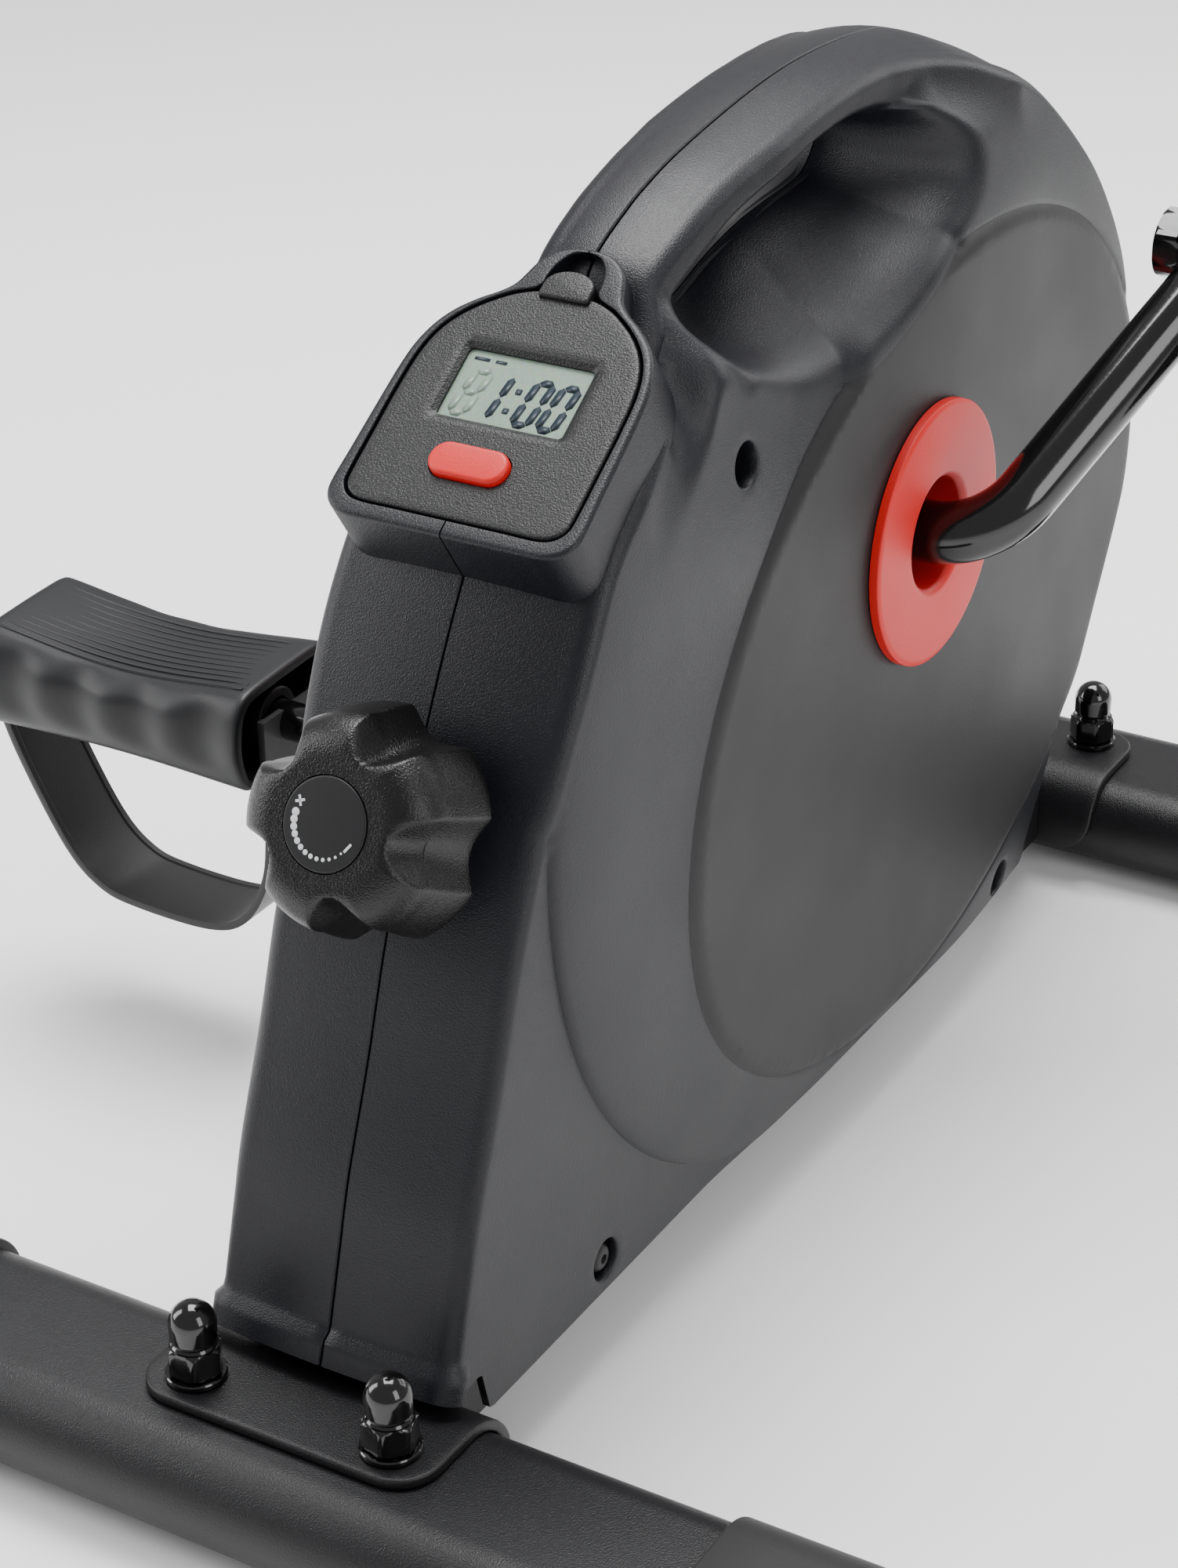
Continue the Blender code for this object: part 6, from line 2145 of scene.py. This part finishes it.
@dataclass
class FootPedal(Assembly):
    """Hollow foot rest with fine tread ribs, a wavy skirt and a hanging strap."""

    side: Side
    inner_x: float = 131.0 * MM
    length: float = 100.0 * MM
    wall: float = 3.0 * MM
    sag: float = 4.2 * MM
    waves: int = 4
    wave_depth: float = 2.2 * MM
    ribs: int = 11
    strap_half: float = 14.0 * MM
    strap_thickness: float = 2.4 * MM
    strap_drop: float = 72.8 * MM
    strap_gap: float = 1.6 * MM

    section: tuple[Point2, ...] = (
        (23.0, 14.0), (20.5, 16.6), (10.0, 16.7), (-3.0, 16.2), (-14.0, 15.4), (-19.0, 13.6),
        (-22.6, 9.0), (-24.2, 3.0), (-24.4, -4.0), (-23.0, -10.0), (-20.6, -14.6), (-16.5, -16.6),
        (-6.0, -16.6), (6.0, -15.8), (15.0, -14.8), (20.0, -11.5), (22.8, -5.0), (23.6, 4.0))

    def __post_init__(self) -> None:
        """Read the pedal axis."""
        spot = middle(self.side.word + "_pedal_spindle")
        self.axis = (spot.y, spot.z)

    def outline(self, shrink: float) -> np.ndarray:
        """Section about the pedal axis, in (y, z).

        Args:
            shrink: how far the section moves inwards.

        Returns:
            The outline.
        """
        loop = resample(spline(np.array(self.section) * MM, 8, closed=True), 1.0 * MM)
        area = 0.5 * np.sum(loop[:, 0] * np.roll(loop[:, 1], -1) - np.roll(loop[:, 0], -1) * loop[:, 1])
        return loop - outward(loop) * shrink * (1 if area > 0 else -1)

    def dip(self, share: float) -> float:
        """How far the top face sags at a share of the length."""
        return self.sag * math.sin(math.pi * share) ** 1.2

    def shaped(self, loop: np.ndarray, share: float) -> np.ndarray:
        """Bend one section: sagging top and scalloped sides.

        Args:
            loop: section points.
            share: 0 at the inner end and 1 at the outer end.

        Returns:
            The changed section.
        """
        y, z = loop[:, 0].copy(), loop[:, 1].copy()
        dip = self.dip(share)
        top = smooth_step(2 * MM, 15 * MM, z)
        z -= dip * top
        under = 1 - smooth_step(-15 * MM, -2 * MM, z)
        z += 0.35 * dip * under
        wave = 0.5 + 0.5 * math.cos(2 * math.pi * self.waves * share)
        flank = np.exp(-((z - 1.5 * MM) / (9.5 * MM)) ** 4)
        y -= np.sign(y) * self.wave_depth * (1 - wave) * flank * smooth_step(14 * MM, 20 * MM, np.abs(y))
        return np.column_stack([y, z])

    def body(self) -> bpy.types.Object:
        """Foot rest, hollow from its inner end, with a spindle sleeve inside.

        Returns:
            The finished object.
        """
        shares = np.linspace(0, 1, 65)
        outer = self.outline(0)
        inner = self.outline(self.wall)

        def ring(loop: np.ndarray, x: float, share: float) -> np.ndarray:
            """Return one section at a distance along the pedal."""
            return stood(self.shaped(loop, share), self.side.value * x)

        lead, tip = 1.6 * MM, 3.4 * MM
        start, end = self.inner_x, self.inner_x + self.length
        outside = [ring(self.outline(lead * (1 - math.sin(a))), start + lead * (1 - math.cos(a)), 0.0)
                   for a in quarter(4)]
        outside += [ring(outer, start + lead + (self.length - 2 * lead - 2 * MM) * share, share)
                    for share in shares[1:-1]]
        outside += [ring(self.outline(tip * (1 - math.cos(a))), end - tip * (1 - math.sin(a)), 1.0)
                    for a in quarter(5)]
        inside_rings = [ring(inner, start + (self.length - self.wall) * share, share)
                        for share in np.linspace(0, 1, 24)]
        builder = MeshBuilder()
        builder.strips([inside_rings[-1], *inside_rings[-2::-1], *outside])
        builder.fan(outside[-1])
        builder.fan(inside_rings[-1][::-1])
        mesh = builder.mesh("pedal", 5e-6)
        place = Matrix.Translation((0, *self.axis))
        mesh.transform(place)
        piece = finish_mesh(self.side.word + "_foot_rest", mesh, self.shop["pedal"], 40)
        tube = [(6.5 * MM, start + 2 * MM), (9.0 * MM, start + 2 * MM), (9.5 * MM, start + 2.6 * MM),
                (9.5 * MM, end - 3 * MM), (6.5 * MM, end - 3 * MM)]
        sleeve = turned("sleeve", tube, place @ self.side.turn @ AXIS_X, self.shop["pedal"], 40, closed=True)
        weld(piece, sleeve)
        weld(piece, self.tread())
        return piece

    def tread(self) -> bpy.types.Object:
        """Fine ribs that run the length of the top face.

        Returns:
            The finished object.
        """
        half = 0.62 * MM
        section = np.array([(-half, -0.6 * MM), (half, -0.6 * MM), (half * 0.75, 0.25 * MM), (0, 0.4 * MM),
                            (-half * 0.75, 0.25 * MM)])
        rings = []
        for t in np.linspace(0.035, 0.965, 40):
            fade = min(1.0, 14 * min(t - 0.03, 0.97 - t))
            x = self.inner_x + self.length * t
            local = section * (1, max(fade, 0.05))
            rings.append(stood(local - (0, self.dip(t)), self.side.value * x))
        rib = loft("rib", rings, self.shop["pedal"], angle=30)
        pitch = 3.1 * MM
        first = -0.5 * pitch * (self.ribs - 1)
        lean = 0.035
        level = 16.35 * MM
        return row_tree().bake("tread_ribs", {
            "Part": rib, "Finish": self.shop["pedal"], "Count": self.ribs,
            "First": (0.0, first + 1.0 * MM, level + lean * first), "Step": (0.0, pitch, pitch * lean)},
            Matrix.Translation((0, *self.axis)), rib, 30)

    def strap_line(self) -> np.ndarray:
        """Middle line of the strap from the inner end to the outer end, in (x, z).

        Returns:
            Evenly spaced points.
        """
        inner = self.inner_x - self.strap_gap
        outer = self.inner_x + self.length + self.strap_gap
        drop = self.strap_drop - self.strap_thickness / 2
        points = [(inner, 5 * MM), (inner, -0.2 * drop), (inner, -0.5 * drop), (inner + 3 * MM, -0.72 * drop),
                  (inner + 12 * MM, -0.92 * drop), (inner + 26 * MM, -drop), (outer - 50 * MM, -drop),
                  (outer - 36 * MM, -0.955 * drop), (outer - 24 * MM, -0.8 * drop),
                  (outer - 9 * MM, -0.42 * drop), (outer - 1.5 * MM, -0.14 * drop),
                  (outer, -0.02 * drop), (outer, 5 * MM)]
        return resample(spline(points, 12), 1.6 * MM, closed=False)

    def strap(self) -> bpy.types.Object:
        """Moulded rubber band with thickened edges.

        Returns:
            The finished object.
        """
        line = self.strap_line()
        run = tangents(line)
        normal = np.column_stack([-run[:, 1], run[:, 0]])
        h, t = self.strap_half, self.strap_thickness / 2
        shape = np.array([(-h, 0), (-h + 0.25 * MM, t), (-h + 2.2 * MM, t), (-h + 2.8 * MM, t - 0.45 * MM),
                   (h - 2.8 * MM, t - 0.45 * MM), (h - 2.2 * MM, t), (h - 0.25 * MM, t), (h, 0),
                   (h - 0.25 * MM, -t), (-h + 0.25 * MM, -t)])
        rings = []
        for p, n in zip(line, normal):
            x = self.side.value * (p[0] + n[0] * shape[:, 1])
            z = p[1] + n[1] * shape[:, 1]
            rings.append(np.column_stack([x, shape[:, 0], z]) + (0, *self.axis))
        return loft(self.side.word + "_foot_strap", rings, self.shop["strap"], angle=30)

    def build(self) -> None:
        """Build the pedal of this side."""
        body = self.side.word + "_pedal"
        self.settle(self.body(), body, "pedal_plastic", body)
        self.settle(self.strap(), body, "strap_rubber", self.side.word + "_strap")


# ---------------------------------------------------------------- inner works


@dataclass
class Works(Assembly):
    """Brake, belt drive and frame: CAD nodes that keep their shape and get a finish."""

    finishes: dict[str, str] = field(default_factory=lambda: {
        "base_beam": "coat", "right_support_plate": "coat", "left_support_plate": "coat",
        "crank_axle": "steel", "flywheel_axle": "steel", "right_bearing": "steel", "left_bearing": "steel",
        "flywheel": "iron", "flywheel_pulley": "black", "drive_pulley": "black", "magnet_carrier": "coat",
        "drive_belt": "belt", "tension_cable": "rubber", "speed_sensor": "black", "knob_bush": "black",
        "circuit_board": "board", "button_cell": "steel"})

    def screws(self) -> None:
        """Pan-head screws with a cross recess, at the bottom of their wells."""
        head = 4.1 * MM
        for word in ("front", "rear", "upper"):
            node = "shell_screw_" + word
            low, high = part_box(node)
            y, z = (low[1] + high[1]) / 2, (low[2] + high[2]) / 2
            top = high[0]
            corners = [(0.05 * MM, low[0]), (2 * MM, low[0] + 2 * MM), (2 * MM, top - 3 * MM),
                       (head, top - 3 * MM), (head, top - 1.2 * MM), (head * 0.72, top - 0.2 * MM),
                       (1.4 * MM, top), (0.9 * MM, top - 1.4 * MM), (0.05 * MM, top - 1.5 * MM)]
            profile = fillet(corners, [0, 0, 0, 0.3 * MM, 0.6 * MM, 0.5 * MM, 0, 0, 0], 3)
            piece = turned(word + "_pan_screw", profile, Matrix.Translation((0, y, z)) @ AXIS_X,
                           self.shop["coat"], 32)
            self.settle(piece, "root", "bright_steel", node)

    def bolts(self) -> None:
        """Carriage bolts under the feet keep their CAD shape."""
        for end in ("front", "rear"):
            for side in Side:
                self.paint(f"{end}_{side.word}_bolt", "steel")

    def paint(self, node: str, finish: str) -> None:
        """Give a CAD node its finish.

        Args:
            node: CAD node.
            finish: palette field.
        """
        mesh = frame["nodes"][node].data
        if not mesh.materials:
            mesh.materials.append(self.shop[finish])
        for index in range(len(mesh.materials)):
            mesh.materials[index] = self.shop[finish]
        LOG.info("%s is finished as %s", node, finish)

    def build(self) -> None:
        """Finish the inner works."""
        for node, finish in self.finishes.items():
            self.paint(node, finish)
        self.bolts()
        self.screws()


# ---------------------------------------------------------------- studio


@dataclass
class Studio:
    """Pale floor, soft lights and the camera."""

    azimuth: float = 31.14
    elevation: float = 28.1
    roll: float = -0.96
    lens: float = 77.5
    eye: tuple[float, float, float] = (0.4113, -0.7483, 0.5690)
    sensor: float = 36.0
    clip: float = 0.02
    aim: tuple[float, float, float] = (0, 0, 0.16)
    air_strength: float = 0.5
    floor_colour: tuple[float, float, float] = (0.96, 0.96, 0.96)
    floor_roughness: float = 0.9
    floor_reach: float = 6.0

    def camera(self) -> None:
        """Place the camera."""
        az, el, roll = (math.radians(v) for v in (self.azimuth, self.elevation, self.roll))
        back = Vector((math.sin(az) * math.cos(el), -math.cos(az) * math.cos(el), math.sin(el)))
        right = Vector((math.cos(az), math.sin(az), 0))
        up = back.cross(right)
        r = right * math.cos(roll) + up * math.sin(roll)
        u = up * math.cos(roll) - right * math.sin(roll)
        data = bpy.data.cameras.new("studio_camera")
        data.lens = self.lens
        data.sensor_width = self.sensor
        data.clip_start = self.clip
        camera = link("studio_camera", data)
        camera.matrix_world = Matrix.Translation(self.eye) @ Matrix((r, u, back)).transposed().to_4x4()
        bpy.context.scene.camera = camera

    def floor(self) -> None:
        """Plain pale floor."""
        material = bpy.data.materials.new("studio_floor")
        material.use_nodes = True
        shader = material.node_tree.nodes["Principled BSDF"]
        shader.inputs["Base Color"].default_value = (*self.floor_colour, 1)
        shader.inputs["Roughness"].default_value = self.floor_roughness
        mesh = bpy.data.meshes.new("studio_floor")
        r = self.floor_reach
        mesh.from_pydata([(-r, -r, 0), (r, -r, 0), (r, r, 0), (-r, r, 0)], [], [(0, 1, 2, 3)])
        mesh.materials.append(material)
        obj = link("studio_floor", mesh)

    def light(self, name: str, place: Sequence[float], size: Point2, power: float) -> None:
        """Add one soft box.

        Args:
            name: light name.
            place: where it hangs.
            size: width and height.
            power: watts.
        """
        data = bpy.data.lights.new(name, "AREA")
        data.shape = "RECTANGLE"
        data.size, data.size_y = size
        data.energy = power
        obj = link(name, data)
        obj.location = place
        obj.rotation_euler = (Vector(self.aim) - Vector(place)).to_track_quat("-Z", "Y").to_euler()

    def build(self) -> None:
        """Set up the studio."""
        world = bpy.data.worlds.new("studio_air")
        world.use_nodes = True
        air = world.node_tree.nodes["Background"]
        air.inputs["Color"].default_value = (1, 1, 1, 1)
        air.inputs["Strength"].default_value = self.air_strength
        bpy.context.scene.world = world
        self.light("top_softbox", (-0.2, 0.3, 1.6), (1.0, 1.0), 46)
        self.light("left_softbox", (-1.5, -0.7, 0.9), (0.6, 1.3), 20)
        self.light("right_softbox", (1.5, -0.5, 0.9), (0.6, 1.2), 12)
        self.light("back_softbox", (0.6, 1.5, 0.9), (1.2, 0.9), 10)
        self.floor()
        self.camera()


def main() -> None:
    """Build every sub-assembly in order."""
    logging.basicConfig(level=logging.INFO, format="%(message)s")
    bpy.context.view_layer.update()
    shop = Workshop(Palette())
    Studio().build()
    Housing(shop).build()
    ResistanceKnob(shop).build()
    Console(shop).build()
    Feet(shop).build()
    for side in Side:
        Crank(shop, side).build()
        FootPedal(shop, side).build()
    Works(shop).build()


if __name__ == "__main__":
    main()
